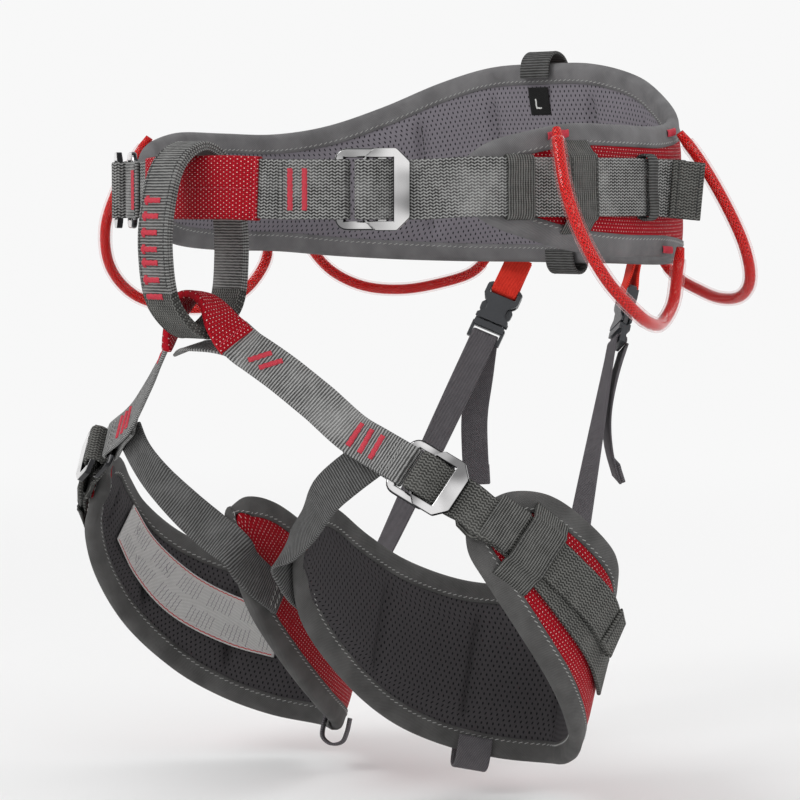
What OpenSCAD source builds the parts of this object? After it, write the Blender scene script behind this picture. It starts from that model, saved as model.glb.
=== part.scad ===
// Sport climbing harness: padded waist belt with two buckles, belay loop, two padded
// adjustable leg loops, four gear loops and two detachable rear risers.
// +Z is up, the wearer faces -Y and the wearer's left is +X. The origin is the middle of
// the waist opening, level with the waist buckles. All sizes are in millimetres.

/* [Webbing] */
// Width of the waist and tie-in webbing
waist_web_w = 28.5; // [27:0.5:30]
// Width of the leg loop webbing
leg_web_w = 20; // [18:0.5:21]
// Width of the rear riser webbing
riser_web_w = 15; // [12:0.5:15.5]
// Thickness of the structural webbing
web_t = 2.2; // [1.6:0.1:2.4]
// Thickness of the riser webbing
riser_t = 1.6; // [1.2:0.1:1.8]
// Width of the belay loop
belay_w = 20; // [16:1:22]
// Thickness of the belay loop's stacked webbing
belay_t = 5; // [4:0.5:5.5]

/* [Padding] */
// Thickness of the foam core of the belt and leg loops
foam_t = 6; // [5:0.5:7]
// Thickness of the lining and of the outer mesh skin
skin_t = 0.8; // [0.5:0.1:1]
// Height of the rolled edge binding
binding_w = 6; // [5:0.5:7]
// Thickness of the rolled edge binding across the padding
binding_t = 9; // [8:0.5:10]

/* [Buckles] */
// Thickness of the steel buckle plates
plate_t = 3; // [2.4:0.1:3.2]
// Outer height of the waist buckle plates
waist_plate_h = 39; // [37:0.5:41]
// Outer height of the leg buckle plates
leg_plate_h = 29.5; // [28:0.5:31]
// Thickness of the plastic riser buckle
clip_t = 6.4; // [6:0.2:7]

/* [Gear loops] */
// Diameter of the braided cord in the gear loops
cord_d = 4.4; // [3:0.2:4.6]
// Outer diameter of the clear tube over the cord
tube_d = 8; // [7:0.5:9]

/* [Hidden] */
gap = 0.3;

// Colours of the cloth, cords and hardware
web_grey = [0.42, 0.42, 0.42];
binding_grey = [0.33, 0.33, 0.33];
lining_grey = [0.36, 0.34, 0.37];
mesh_red = [0.62, 0.06, 0.11];
cord_red = [0.82, 0.12, 0.1];
clear_grey = [0.85, 0.85, 0.88, 0.5];
steel = [0.75, 0.75, 0.77];
plastic = [0.13, 0.14, 0.15];
foam_grey = [0.28, 0.28, 0.3];

// Half of the belt from the middle of the back to the left front tip:
// each station is the top edge point, then the bottom edge point
BELT = [
    [0, 116, 73, 0, 140, -37],
    [36, 116, 72, 34, 138, -37],
    [70, 111, 64, 66, 128, -37],
    [99, 96, 51, 95, 105, -36],
    [122, 73, 40, 121, 79, -34],
    [134, 42, 35, 135, 45, -31],
    [138, 6, 35, 140, 6, -30],
    [136, -28, 35, 138, -28, -27],
    [129, -52, 31, 130, -52, -21],
    [118.5, -70.5, 25, 119.5, -71.5, -13],
    [109.5, -82, 14, 109.5, -82, -1]
];

// Left leg loop from the inner front tip, round the back, to the outer front tip:
// each station is the hip edge point, then the knee edge point
LEG = [
    [29, -97, -158, 27, -101, -168],
    [26, -88, -153, 22, -102, -187],
    [22, -72, -157, 18, -92, -214],
    [20, -48, -172, 19, -66, -244],
    [23, -20, -188, 24, -38, -268],
    [34, 10, -200, 36, -12, -283],
    [50, 38, -205, 58, 9, -291],
    [72, 52, -207, 82, 24, -293],
    [102, 38, -208, 104, 8, -288],
    [128, 12, -202, 125, -10, -278],
    [151, -12, -189, 141, -31, -262],
    [165, -30, -171, 150, -56, -237],
    [161, -47, -154, 148, -79, -208],
    [151, -62, -142, 140, -94, -183],
    [140, -78, -140, 132, -98, -169],
    [131, -90, -147, 127, -95, -158]
];

// Gear loop routes on the left side, from the front sewn end to the rear sewn end
GEAR_FRONT = [
    [142, -46, 32], [148, -51, 20], [157, -57, 2], [166, -57, -18], [173, -47, -39],
    [175, -27, -55], [168, -4, -62], [158, 18, -62], [151, 36, -53], [146, 46, -39], [145, 50, -26]
];
GEAR_REAR = [
    [138, 58, 32], [145, 66, 18], [153, 79, -6], [155, 92, -27], [149, 105, -43],
    [135, 117, -52], [114, 128, -54], [92, 138, -50], [74, 144, -44], [62, 145, -35]
];

// Middle lines of the loose webbing: each station is a point, then the way its face looks
LEG_STRAP = [
    [27.2, -140.8, -73.3, 0.5, -0.68, 0.54],
    [43, -132.8, -85, 0.53, -0.72, 0.45],
    [61, -125.2, -99.4, 0.51, -0.76, 0.4]
];
INNER_STRAP = [
    [85, -113, -124, 0.47, -0.81, 0.36],
    [72, -118, -134, 0.4, -0.9, 0.2],
    [58, -119, -145, 0.1, -1, 0.1],
    [42, -113, -160, -0.3, -0.94, 0.1],
    [27, -108.5, -171, -0.65, -0.75, 0.1]
];
LOWER_TIE = [
    [0, -149, -48, 0, 0.1, 1],
    [10, -148, -52, 0.3, 0, 0.95],
    [16.5, -146.5, -61.5, 0.5, -0.4, 0.65],
    [23, -143, -70.5, 0.5, -0.68, 0.54]
];
BRIDGE = [
    [0, -142, -73, 0, -0.25, 1],
    [10, -140.5, -73.5, 0.1, -0.25, 1],
    [19, -136, -76, 0.2, -0.3, 1]
];
RISER_TAIL_LEFT = [
    [50, 127, -83, 0.6, 0.74, -0.31],
    [52, 116, -100, 0.6, 0.75, -0.2],
    [53, 109, -120, 0.6, 0.8, 0],
    [53, 111, -138, 0.6, 0.8, 0.1],
    [53, 118, -154, 0.6, 0.8, 0.2]
];
RISER_TAIL_RIGHT = [
    [50, 127.5, -83, 0.6, 0.74, -0.31],
    [51, 125, -102, 0.6, 0.75, -0.2],
    [51, 120, -128, 0.6, 0.8, 0],
    [50, 121, -164, 0.6, 0.8, 0.1]
];
// Belay loop's middle line in its own upright plane, as [y, z]
BELAY = [
    [-150, 24], [-165, 16], [-173, -4], [-175, -28], [-169, -53],
    [-149, -67], [-129, -55], [-124, -30], [-126, -6], [-135, 16]
];

// Places and directions of the buckles: middle, way along the webbing, way the face looks
WAIST_BUCKLE = [[84, -113, 3], [0.8, 0.6, 0], [0.6, -0.8, 0]];
LEG_BUCKLE = [[114, -106, -134], [0.84, 0.28, -0.46], [0.47, -0.81, 0.36]];
CLIP = [[44, 138, -55], [0.13, -0.47, -0.87], [0.6, 0.74, -0.31]];

// ---- Vectors and smooth curves ----

function unit(v) = v / norm(v);
function flip(s) = [for (i = [0 : len(s) - 1]) i % 3 == 0 ? -s[i] : s[i]];
function backwards(list) = [for (i = [len(list) - 1 : -1 : 0]) list[i]];
function head(s) = [s[0], s[1], s[2]];
function tail(s) = [s[3], s[4], s[5]];
function cubic(a, b, c, d, t) =
    0.5 * (2*b + (c - a)*t + (2*a - 5*b + 4*c - d)*t*t + (3*b - a - 3*c + d)*t*t*t);

// Value of a station list at a fractional index
function at(list, t) =
    let (last = len(list) - 1, i = max(0, min(floor(t), last - 1)))
    cubic(list[max(i - 1, 0)], list[i], list[i + 1], list[min(i + 2, last)], t - i);

function smooth(list, n) = [for (k = [0 : (len(list) - 1) * n]) at(list, k / n)];

// A half list from its middle outwards, completed by its mirror image
function both_sides(half) =
    concat([for (i = [len(half) - 1 : -1 : 1]) flip(half[i])], half);

// ---- Solids swept through rings of points ----

// Faces of a sweep: rings of m points, a ladder of triangles over each end. The second half of
// each ring is split the other way, so the two sides of a layer bend along the same lines.
function side_faces(count, m, closed, first = 0) = [
    for (i = [0 : count - (closed ? 1 : 2)]) for (j = [0 : m - 1]) for (k = [0, 1])
        let (a = first + i*m + j, b = first + i*m + (j + 1) % m,
             c = first + ((i + 1) % count)*m + (j + 1) % m, d = first + ((i + 1) % count)*m + j)
        j < m/2 ? (k == 0 ? [a, d, c] : [a, c, b]) : (k == 0 ? [a, d, b] : [b, d, c])
];
function cap_faces(first, m, back) = [
    for (j = [0 : m/2 - 2]) for (k = [0, 1])
        let (a = first + j, b = first + j + 1, c = first + m - 2 - j, d = first + m - 1 - j,
             f = k == 0 ? [a, b, c] : [a, c, d])
        back ? [f[2], f[1], f[0]] : f
];
module skin(rings, closed = false) {
    m = len(rings[0]);
    count = len(rings);
    caps = closed ? [] : concat(cap_faces(0, m, false), cap_faces((count - 1)*m, m, true));
    polyhedron([for (r = rings) each r], concat(side_faces(count, m, closed), caps));
}

// A hollow sweep: an outer wall, an inner wall and flat rims at both ends
module pipe(outer, inner) {
    m = len(outer[0]);
    count = len(outer);
    base = m * count;
    inside = [for (f = side_faces(count, m, false, base)) [f[2], f[1], f[0]]];
    rims = [
        for (j = [0 : m - 1]) for (k = [0 : 3])
            let (n = (j + 1) % m, e = (count - 1)*m)
            k == 0 ? [j, n, base + n] : k == 1 ? [j, base + n, base + j]
            : k == 2 ? [e + n, e + j, base + e + n] : [e + j, base + e + j, base + e + n]
    ];
    points = concat([for (r = outer) each r], [for (r = inner) each r]);
    polyhedron(points, concat(side_faces(count, m, false), inside, rims));
}

// Ways along, across and out of a webbing station
function forward(path, i) =
    unit(head(path[min(i + 1, len(path) - 1)]) - head(path[max(i - 1, 0)]));
function across(path, i) = unit(cross(forward(path, i), tail(path[i])));
function outward(path, i) = cross(across(path, i), forward(path, i));

// Rings of a webbing w wide and t thick, narrower by slim where it crosses the middle plane
function web_rings(path, w, t, slim = 0) = [
    for (i = [0 : len(path) - 1])
        let (c = head(path[i]), o = outward(path, i) * t/2,
             a = across(path, i) * (w - slim*max(0, 1 - abs(c[0])/20))/2)
        [c - a - o, c - a + o, c + a + o, c + a - o]
];
module web(path, w, t, slim = 0) {
    skin(web_rings(path, w, t, slim));
}
module sleeve(path, w, t, wall, slim = 0) {
    pipe(web_rings(path, w, t, slim), web_rings(path, w - 2*wall, t - 2*wall, slim));
}

// Round cord or tube wall through plain points
function round_rings(points, d, sides, side_way) = [
    for (i = [0 : len(points) - 1])
        let (f = unit(points[min(i + 1, len(points) - 1)] - points[max(i - 1, 0)]),
             a = unit(cross(f, side_way)), b = cross(f, a))
        [for (k = [0 : sides - 1]) points[i] + d/2 * (a*cos(360*k/sides) + b*sin(360*k/sides))]
];

// ---- Padding: the belt and leg loops share one build-up ----

function high(s) = head(s);
function low(s) = tail(s);
function pad_out(pad, t) =
    let (last = len(pad) - 1, a = at(pad, max(t - 0.25, 0)), b = at(pad, min(t + 0.25, last)),
         s = at(pad, t))
    unit(cross(high(s) - low(s), high(b) + low(b) - high(a) - low(a)));

// Point of the padding at station t, fraction f up from the lower edge, height h outwards
function on_pad(pad, t, f, h) =
    let (s = at(pad, t)) low(s) + (high(s) - low(s))*f + pad_out(pad, t)*h;

// A webbing station lying on the padding
function pad_station(pad, t, f, h, side = 1) =
    concat(on_pad(pad, t, f, h), pad_out(pad, t) * side);

// Share of the padding's height taken by a distance in from its upper or lower edge
function edge_share(pad, t, up, reach) =
    let (last = len(pad) - 1, s = at(pad, t), a = at(pad, max(t - 0.25, 0)),
         b = at(pad, min(t + 0.25, last)), way = up ? high(b) - high(a) : low(b) - low(a),
         rise = high(s) - low(s))
    reach * norm(way) / norm(cross(way, rise));

function half_thick(f) = foam_t/2 * (1 - 0.4*pow(2*f - 1, 4));
PAD_STEPS = [0, 0.2, 0.5, 0.8, 1];
function layer_ring(pad, t, from, to) =
    let (e = min(0.4, edge_share(pad, t, false, binding_w + gap)),
         g = min(0.4, edge_share(pad, t, true, binding_w + gap)))
    concat(
        [for (k = PAD_STEPS) on_pad(pad, t, e + (1 - e - g)*k, to(k))],
        [for (i = [len(PAD_STEPS) - 1 : -1 : 0])
            let (k = PAD_STEPS[i]) on_pad(pad, t, e + (1 - e - g)*k, from(k))]
    );
module pad_layer(pad, from, to, first, last, step) {
    skin([for (t = [first : step : last]) layer_ring(pad, t, from, to)]);
}
module foam(pad, first, last, step) {
    pad_layer(pad, function (f) -half_thick(f), function (f) half_thick(f), first, last, step);
}
module lining(pad, first, last, step) {
    pad_layer(pad, function (f) -half_thick(f) - gap - skin_t,
        function (f) -half_thick(f) - gap, first, last, step);
}
module shell(pad, first, last, step) {
    pad_layer(pad, function (f) half_thick(f) + gap,
        function (f) half_thick(f) + gap + skin_t, first, last, step);
}

// Height of the outer face of the shell over the middle of the padding
shell_h = foam_t/2 + gap + skin_t;

// Rolled binding: a rounded bead that follows the whole edge of the padding
function edge_station(pad, t, up) =
    let (s = at(pad, t), e = min(0.46, edge_share(pad, t, up, binding_w/2)),
         d = (high(s) - low(s))*e)
    concat(up ? high(s) - d : low(s) + d, pad_out(pad, t));
function bead_ring(path, i) =
    let (n = len(path), f = unit(head(path[(i + 1) % n]) - head(path[(i + n - 1) % n])),
         a = unit(cross(f, tail(path[i]))), o = cross(a, f), c = head(path[i]))
    [for (k = [0 : 7])
        c + o*binding_t/2*cos(45*k + 22.5) + a*(binding_w/2 - 0.1)*sin(45*k + 22.5)];
module bead(path) {
    skin([for (i = [0 : len(path) - 1]) bead_ring(path, i)], closed = true);
}

BELT_FULL = both_sides(BELT);
belt_mid = len(BELT) - 1;
leg_last = len(LEG) - 1;

// Fraction up the belt at which a level height is met
function belt_level(t, z) =
    let (s = at(BELT_FULL, belt_mid + t)) (z - s[5]) / (s[2] - s[5]);
function belt_web(t, z, h, side) =
    pad_station(BELT_FULL, belt_mid + t, belt_level(t, z), h, side);

// ---- Waist belt ----

module waist_foam() {
    color(foam_grey)
    foam(BELT_FULL, 0.7, 2*belt_mid - 0.7, 0.62);
}
module waist_lining() {
    color(lining_grey)
    lining(BELT_FULL, 0.7, 2*belt_mid - 0.7, 0.62);
}
module waist_shell() {
    color(mesh_red)
    shell(BELT_FULL, 0.7, 2*belt_mid - 0.7, 0.62);
}
module waist_binding() {
    last = 2*belt_mid;
    path = concat(
        [for (t = [0 : 0.5 : last]) edge_station(BELT_FULL, t, true)],
        [for (t = [last : -0.5 : 0]) edge_station(BELT_FULL, t, false)]
    );
    color(binding_grey)
    bead(path);
}

// ---- Buckle places: s runs along the webbing, h outwards, both from the buckle's middle ----

function along(b) = unit(b[1]);
function facing(b) = unit(b[2] - along(b)*(along(b)*b[2]));
function spot(b, s, h) = b[0] + along(b)*s + facing(b)*h;

// Webbing that runs up under the frame, round the slider's inner bar and out as the tail
SLIDER_TURN = [
    [26, -3.8, 0], [14, -3.6, 0], [8, -3.5, 0], [2, -3.2, 20], [-2.8, -0.8, 50],
    [-5.8, 2.4, 70], [-6.8, 6, 95], [-5.4, 8.8, 140], [-2.6, 9.3, 180], [1, 8.3, 205],
    [4.6, 5.5, 215], [8.6, 3.4, 195], [13, 3, 180], [22, 3, 180]
];
function slider_turn(b) = [
    for (p = SLIDER_TURN) concat(spot(b, p[0], p[1]), -facing(b)*cos(p[2]) - along(b)*sin(p[2]))
];

// Webbing that comes in over the frame's inner bar, folds round it and returns underneath
FRAME_TURN = [
    [-44, 1.6, 0], [-30, 1.7, 0], [-23, 2.4, 0], [-17, 3, 0], [-12.2, 2.8, 45], [-11.4, 0, 90],
    [-12.2, -2.8, 135], [-17, -3, 180], [-23, -2.2, 180], [-30, -1.2, 180], [-44, -1, 180]
];
function frame_turn(b) = [
    for (p = FRAME_TURN) concat(spot(b, p[0], p[1]), facing(b)*cos(p[2]) + along(b)*sin(p[2]))
];

// Moves a shape drawn along x, across y and out of z to a buckle's place
module placed(b) {
    u = along(b);
    n = facing(b);
    w = cross(n, u);
    multmatrix([
        [u[0], w[0], n[0], b[0][0]],
        [u[1], w[1], n[1], b[0][1]],
        [u[2], w[2], n[2], b[0][2]]
    ]) children();
}
function clipped_corners(x0, x1, y, cut) = [
    [x0 + cut, -y], [x1 - cut, -y], [x1, cut - y], [x1, y - cut],
    [x1 - cut, y], [x0 + cut, y], [x0, y - cut], [x0, cut - y]
];
function rounded_corners(x0, x1, y, r) = [
    for (q = [[x1 - r, r - y, -90], [x1 - r, y - r, 0], [x0 + r, y - r, 90], [x0 + r, r - y, 180]])
        for (a = [0 : 15 : 90]) [q[0] + r*cos(q[2] + a), q[1] + r*sin(q[2] + a)]
];
module ring_plate(outline, slot0, slot1, slot_tall) {
    translate([0, 0, -plate_t/2])
    linear_extrude(plate_t)
    difference() {
        polygon(outline);
        translate([slot0, -slot_tall/2]) square([slot1 - slot0, slot_tall]);
    }
}
module frame_plate(b, tall, web_w) {
    placed(b) ring_plate(rounded_corners(-18, 8, tall/2, 6), -13, 2, web_w + 1.5);
}
module slider_plate(b, tall, web_w) {
    placed(b)
    translate([0, 0, 6])
    ring_plate(clipped_corners(-4.5, 18.5, tall/2, 6), -1.5, 10.5, web_w + 1.5);
}

// ---- Waist webbing, tie-in and their buckles ----

load_h = shell_h + gap + web_t/2;
tail_h = load_h + web_t + gap;

WAIST_HALF = concat(
    [for (t = [0 : 0.5 : 8]) belt_web(t, 4, load_h + 0.2, -1)],
    [for (t = [8.6, 9.2, 9.8]) belt_web(t, 4, load_h + 0.9, -1)],
    slider_turn(WAIST_BUCKLE),
    [for (t = [9.4, 8.8, 8.2]) belt_web(t, 4, tail_h + 1, 1)],
    [for (t = [7.6 : -0.6 : 5.8]) belt_web(t, 4, tail_h + 0.4, 1)],
    [[146.3, 28, 4, 1, 0.05, 0], [158, 49, 2, 0.8, -0.6, 0]]
);
module waist_webbing() {
    color(web_grey)
    web(both_sides(WAIST_HALF), waist_web_w, web_t);
}

// Elastic band over both layers of waist webbing, from the lower edge to the upper edge
module hip_band(t, w) {
    s = at(BELT_FULL, belt_mid + t);
    top = tail_h + web_t/2 + gap + 1.5;
    path = [
        for (p = [[s[5] + 1, binding_t/2 + 1], [-13.2, top - 2], [-11.6, top], [4, top + 0.2],
                  [19.6, top], [21.2, top - 2], [s[2] - 1, binding_t/2 + 1]])
            belt_web(t, p[0], p[1], 1)
    ];
    web(path, w, 1.2);
}

// Narrow elastic keeper over the webbing and the tail near the tail's end
module tail_keeper(t, w) {
    top = tail_h + web_t/2 + gap + 2.4;
    side = waist_web_w/2;
    path = [
        for (p = [[-side - 2.6, shell_h + 1.2], [-side - 2.6, top - 2], [0.8 - side, top],
                  [0, top + 0.1], [side - 0.8, top], [side + 2.6, top - 2], [side + 2.6, shell_h + 1.2]])
            belt_web(t, 4 + p[0], p[1], 1)
    ];
    web(path, w, 1.2);
}
module hip_bands() {
    color(binding_grey)
    for (m = [0, 1]) mirror([m, 0, 0]) {
        hip_band(8.35, 13);
        hip_band(7.05, 18);
        tail_keeper(5.65, 8);
    }
}
TIE_HALF = concat(
    [[0, -150, 4, 0, 1, 0], [24, -147.6, 4, -0.2, 1, 0]],
    backwards(frame_turn(WAIST_BUCKLE))
);
module tie_in_webbing() {
    color(web_grey)
    web(both_sides(TIE_HALF), waist_web_w, web_t);
}
SLEEVE_HALF = [
    [0, -150, 4, 0, 1, 0], [24, -147.6, 4, -0.2, 1, 0], [38, -142.5, 3.4, -0.43, 0.9, 0]
];
module tie_in_sleeve() {
    color(mesh_red)
    sleeve(both_sides(SLEEVE_HALF), waist_web_w + 2.2, web_t + 2.4, 0.8);
}
module waist_frame_left() {
    color(steel)
    frame_plate(WAIST_BUCKLE, waist_plate_h, waist_web_w);
}
module waist_frame_right() {
    color(steel)
    mirror([1, 0, 0]) frame_plate(WAIST_BUCKLE, waist_plate_h, waist_web_w);
}
module waist_slider_left() {
    color(steel)
    slider_plate(WAIST_BUCKLE, waist_plate_h, waist_web_w);
}
module waist_slider_right() {
    color(steel)
    mirror([1, 0, 0]) slider_plate(WAIST_BUCKLE, waist_plate_h, waist_web_w);
}

// ---- Trim at the middle of the back ----

// Strap from inside the top edge, up into a small haul loop, down the back and under the belt
HAUL = [
    [0, 110.8, 65, 0, -1, 0], [0, 110.8, 70, 0, -1, 0], [0, 112.2, 75.2, 0, -0.8, 0.6],
    [0, 117.5, 79, 0, 0, 1], [0, 125, 76.4, 0, 0.7, 0.7], [0, 130, 67, 0, 1, 0.2],
    [0, 131, 54, 0, 1, 0], [0, 129.5, 43, 0, 1, 0], [0, 135.4, 27, 0, 1, 0.2],
    [0, 141.5, 10, 0, 1, 0.2],
    [0, 143, -10, 0, 1, 0.1], [0, 144.8, -22, 0, 1, 0.2], [0, 146.6, -33, 0, 1, -0.1],
    [0, 145, -40.4, 0, 0.6, -0.8], [0, 140, -42.6, 0, 0, -1], [0, 135, -39.5, 0, -0.7, -0.7],
    [0, 132.8, -30, 0, -1, 0]
];
module haul_strap() {
    color(web_grey)
    web(smooth(HAUL, 2), 20, web_t - 0.4);
}
module size_label() {
    color(plastic)
    web([[0, 117, 45, 0, -0.98, -0.21], [0, 113.7, 60, 0, -0.98, -0.21]], 14, 0.7);
}

// ---- Gear loops: a braided cord inside a clear tube ----

module gear_cord(route, side_way) {
    points = smooth(route, 2);
    skin(round_rings(points, cord_d, 8, side_way));
}
module gear_tube(route, side_way) {
    points = smooth(route, 2);
    covered = [for (i = [1 : len(points) - 2]) points[i]];
    pipe(round_rings(covered, tube_d, 8, side_way),
        round_rings(covered, cord_d + 4*gap, 8, side_way));
}
FRONT_WAY = [0.85, 0, 0.5];
REAR_WAY = [0.34, 0.76, 0.55];
module gear_cord_1() { color(cord_red) gear_cord(GEAR_FRONT, FRONT_WAY); }
module gear_cord_2() { color(cord_red) gear_cord(GEAR_REAR, REAR_WAY); }
module gear_cord_3() { color(cord_red) mirror([1, 0, 0]) gear_cord(GEAR_FRONT, FRONT_WAY); }
module gear_cord_4() { color(cord_red) mirror([1, 0, 0]) gear_cord(GEAR_REAR, REAR_WAY); }
module gear_tube_1() { color(clear_grey) gear_tube(GEAR_FRONT, FRONT_WAY); }
module gear_tube_2() { color(clear_grey) gear_tube(GEAR_REAR, REAR_WAY); }
module gear_tube_3() { color(clear_grey) mirror([1, 0, 0]) gear_tube(GEAR_FRONT, FRONT_WAY); }
module gear_tube_4() { color(clear_grey) mirror([1, 0, 0]) gear_tube(GEAR_REAR, REAR_WAY); }

// ---- Belay loop and lower tie-in ----

function round_trip(list, n) = [
    for (i = [0 : len(list) - 1]) for (j = [0 : n - 1])
        let (c = len(list))
        cubic(list[(i + c - 1) % c], list[i], list[(i + 1) % c], list[(i + 2) % c], j/n)
];
module belay_loop() {
    line = round_trip(BELAY, 3);
    n = len(line);
    color(web_grey)
    skin([
        for (i = [0 : n - 1])
            let (f = unit(line[(i + 1) % n] - line[(i + n - 1) % n]),
                 o = [0, -f[1], f[0]]*belay_t/2, c = [0, line[i][0], line[i][1]],
                 a = [belay_w/2, 0, 0])
            [c - a - o, c - a + o, c + a + o, c + a - o]
    ], closed = true);
}
module lower_sleeve() {
    color(mesh_red)
    sleeve(smooth(both_sides(LOWER_TIE), 2), leg_web_w - 0.4, web_t + 2.4, 0.8, 9);
}
module lower_webbing() {
    color(web_grey)
    web(smooth(both_sides(LOWER_TIE), 2), leg_web_w - 3, web_t, 9);
}
module bridge_strap() {
    color(web_grey)
    web(smooth(both_sides(BRIDGE), 2), 16, web_t - 0.4);
}

// ---- Rear risers ----

module riser_tab() {
    path = [
        for (p = [[-22, -1.6, 180], [-12, -1.8, 180], [-4, -2.8, 180], [0, -2.7, 150],
                  [1.6, 0, 90], [0, 2.7, 30], [-4, 2.8, 0], [-12, 1.8, 0], [-22, 1.6, 0]])
            concat(spot(CLIP, p[0], p[1]), facing(CLIP)*cos(p[2]) + along(CLIP)*sin(p[2]))
    ];
    web(path, riser_web_w, riser_t);
}
module riser_tabs() {
    color(cord_red)
    for (m = [0, 1]) mirror([m, 0, 0]) riser_tab();
}

// Socket: a slotted top bar and two cross-shaped plates with room for the arms between them
module riser_socket() {
    placed(CLIP)
    difference() {
        translate([0, 0, -clip_t/2])
        linear_extrude(clip_t)
        difference() {
            polygon([
                [-3.6, -8.6], [-2.2, -10.4], [4.4, -10.4], [6.4, -9.4], [9.6, -6], [13.4, -6],
                [16.6, -9.6], [19, -9.6], [19, 9.6], [16.6, 9.6], [13.4, 6], [9.6, 6],
                [6.4, 9.4], [4.4, 10.4], [-2.2, 10.4], [-3.6, 8.6]
            ]);
            translate([-1, -8]) square([4, 16]);
        }
        translate([5.6, -12, -1.9]) cube([15, 24, 3.8]);
        translate([-5, -12, 1.8]) cube([4, 24, 3]);
        translate([-5, -12, -4.8]) cube([4, 24, 3]);
    }
}
module riser_sockets() {
    color(plastic)
    for (m = [0, 1]) mirror([m, 0, 0]) riser_socket();
}

// Plug: a guide tongue, a body with the webbing slot and a thin lower bar
module riser_plug() {
    placed(CLIP) {
        translate([0, 0, -1.5])
        linear_extrude(3)
        difference() {
            polygon([
                [7.4, -1.4], [20, -1.4], [20, -8.4], [21.4, -9.8], [31, -9.8], [31, 9.8],
                [21.4, 9.8], [20, 8.4], [20, 1.4], [7.4, 1.4]
            ]);
            translate([24, -8]) square([4, 16]);
        }
        for (side = [1.5, -clip_t/2])
            translate([20, -9, side]) cube([3.6, 18, clip_t/2 - 1.5]);
    }
}
module riser_plug_left() { color(plastic) riser_plug(); }
module riser_plug_right() { color(plastic) mirror([1, 0, 0]) riser_plug(); }

// One sprung arm of the plug, on the +y or -y side of the tongue
module riser_arm(side) {
    placed(CLIP)
    mirror([0, side < 0 ? 1 : 0, 0])
    translate([0, 0, -1.5])
    linear_extrude(3)
    polygon([
        [19.6, 4.4], [19.6, 7.2], [15.4, 8.2], [13.6, 9.4], [10, 9.6], [8.2, 8.2],
        [8.2, 5.8], [10.4, 5.2], [14, 5.4]
    ]);
}
module riser_arms_left_a() { color(plastic) riser_arm(1); }
module riser_arms_left_b() { color(plastic) riser_arm(-1); }
module riser_arms_right_a() { color(plastic) mirror([1, 0, 0]) riser_arm(1); }
module riser_arms_right_b() { color(plastic) mirror([1, 0, 0]) riser_arm(-1); }

// Riser strap: sewn over the leg loop's hip edge, then up and over the plug's lower bar
module riser_strap() {
    n = facing(CLIP);
    foot = pad_station(LEG, 6.9, 1.03, binding_t/2 + 1.4, -1);
    top = concat(spot(CLIP, 38, -2.6), -n);
    path = concat(
        [for (f = [0.74, 0.86, 0.95]) pad_station(LEG, 6.9, f, binding_t/2 + 1.4, -1)],
        [for (k = [0 : 7]) foot*(1 - k/8) + top*k/8],
        [for (p = [[38, -2.6, 180], [31, -2.7, 180], [27.4, -2.5, 150], [26, 0, 90],
                   [27.4, 2.5, 30], [30, 2.7, 0]])
            concat(spot(CLIP, p[0], p[1]), n*cos(p[2]) - along(CLIP)*sin(p[2]))]
    );
    web(path, riser_web_w, riser_t);
}
module riser_strap_left() { color(web_grey) riser_strap(); }
module riser_strap_right() { color(web_grey) mirror([1, 0, 0]) riser_strap(); }
module riser_tail_left() {
    color(web_grey)
    web(smooth(RISER_TAIL_LEFT, 3), riser_web_w, riser_t);
}
module riser_tail_right() {
    color(web_grey)
    mirror([1, 0, 0]) web(smooth(RISER_TAIL_RIGHT, 3), riser_web_w, riser_t);
}

// ---- Leg loops: the left one is drawn, the right one is its mirror image ----

module leg_foam_left() { color(foam_grey) foam(LEG, 1.1, leg_last - 1.1, 0.64); }
module leg_foam_right() { mirror([1, 0, 0]) leg_foam_left(); }
module leg_lining_left() { color(lining_grey) lining(LEG, 1.1, leg_last - 1.1, 0.64); }
module leg_lining_right() { mirror([1, 0, 0]) leg_lining_left(); }
module leg_shell_left() { color(mesh_red) shell(LEG, 1.1, leg_last - 1.1, 0.64); }
module leg_shell_right() { mirror([1, 0, 0]) leg_shell_left(); }
module leg_binding_left() {
    path = concat(
        [for (t = [0 : 0.5 : leg_last]) edge_station(LEG, t, true)],
        [for (t = [leg_last : -0.5 : 0]) edge_station(LEG, t, false)]
    );
    color(binding_grey)
    bead(path);
}
module leg_binding_right() { mirror([1, 0, 0]) leg_binding_left(); }

LEG_STRAP_PATH = concat(smooth(LEG_STRAP, 3), frame_turn(LEG_BUCKLE));
module leg_strap_left() {
    color(web_grey)
    web(LEG_STRAP_PATH, leg_web_w, web_t);
}
module leg_strap_right() { mirror([1, 0, 0]) leg_strap_left(); }

LEG_WEB_PATH = concat(
    [for (t = [9.6 : 0.45 : 13.2]) pad_station(LEG, t, 0.46, load_h + 0.7, -1)],
    [for (t = [13.9, 14.6]) pad_station(LEG, t, 0.5, load_h + 1, -1)],
    slider_turn(LEG_BUCKLE),
    [pad_station(LEG, 14, 0.5, tail_h + 1, 1), pad_station(LEG, 13.3, 0.52, tail_h + 0.5, 1),
     pad_station(LEG, 12.6, 0.54, tail_h + 0.4, 1), pad_station(LEG, 11.9, 0.57, tail_h + 0.6, 1),
     pad_station(LEG, 11.1, 0.6, tail_h + 1, 1), pad_station(LEG, 10.3, 0.6, tail_h + 1.6, 1)]
);
module leg_webbing_left() {
    color(web_grey)
    web(LEG_WEB_PATH, leg_web_w, web_t);
}
module leg_webbing_right() { mirror([1, 0, 0]) leg_webbing_left(); }
module leg_frame_left() { color(steel) frame_plate(LEG_BUCKLE, leg_plate_h, leg_web_w); }
module leg_frame_right() { mirror([1, 0, 0]) leg_frame_left(); }
module leg_slider_left() { color(steel) slider_plate(LEG_BUCKLE, leg_plate_h, leg_web_w); }
module leg_slider_right() { mirror([1, 0, 0]) leg_slider_left(); }
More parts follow.
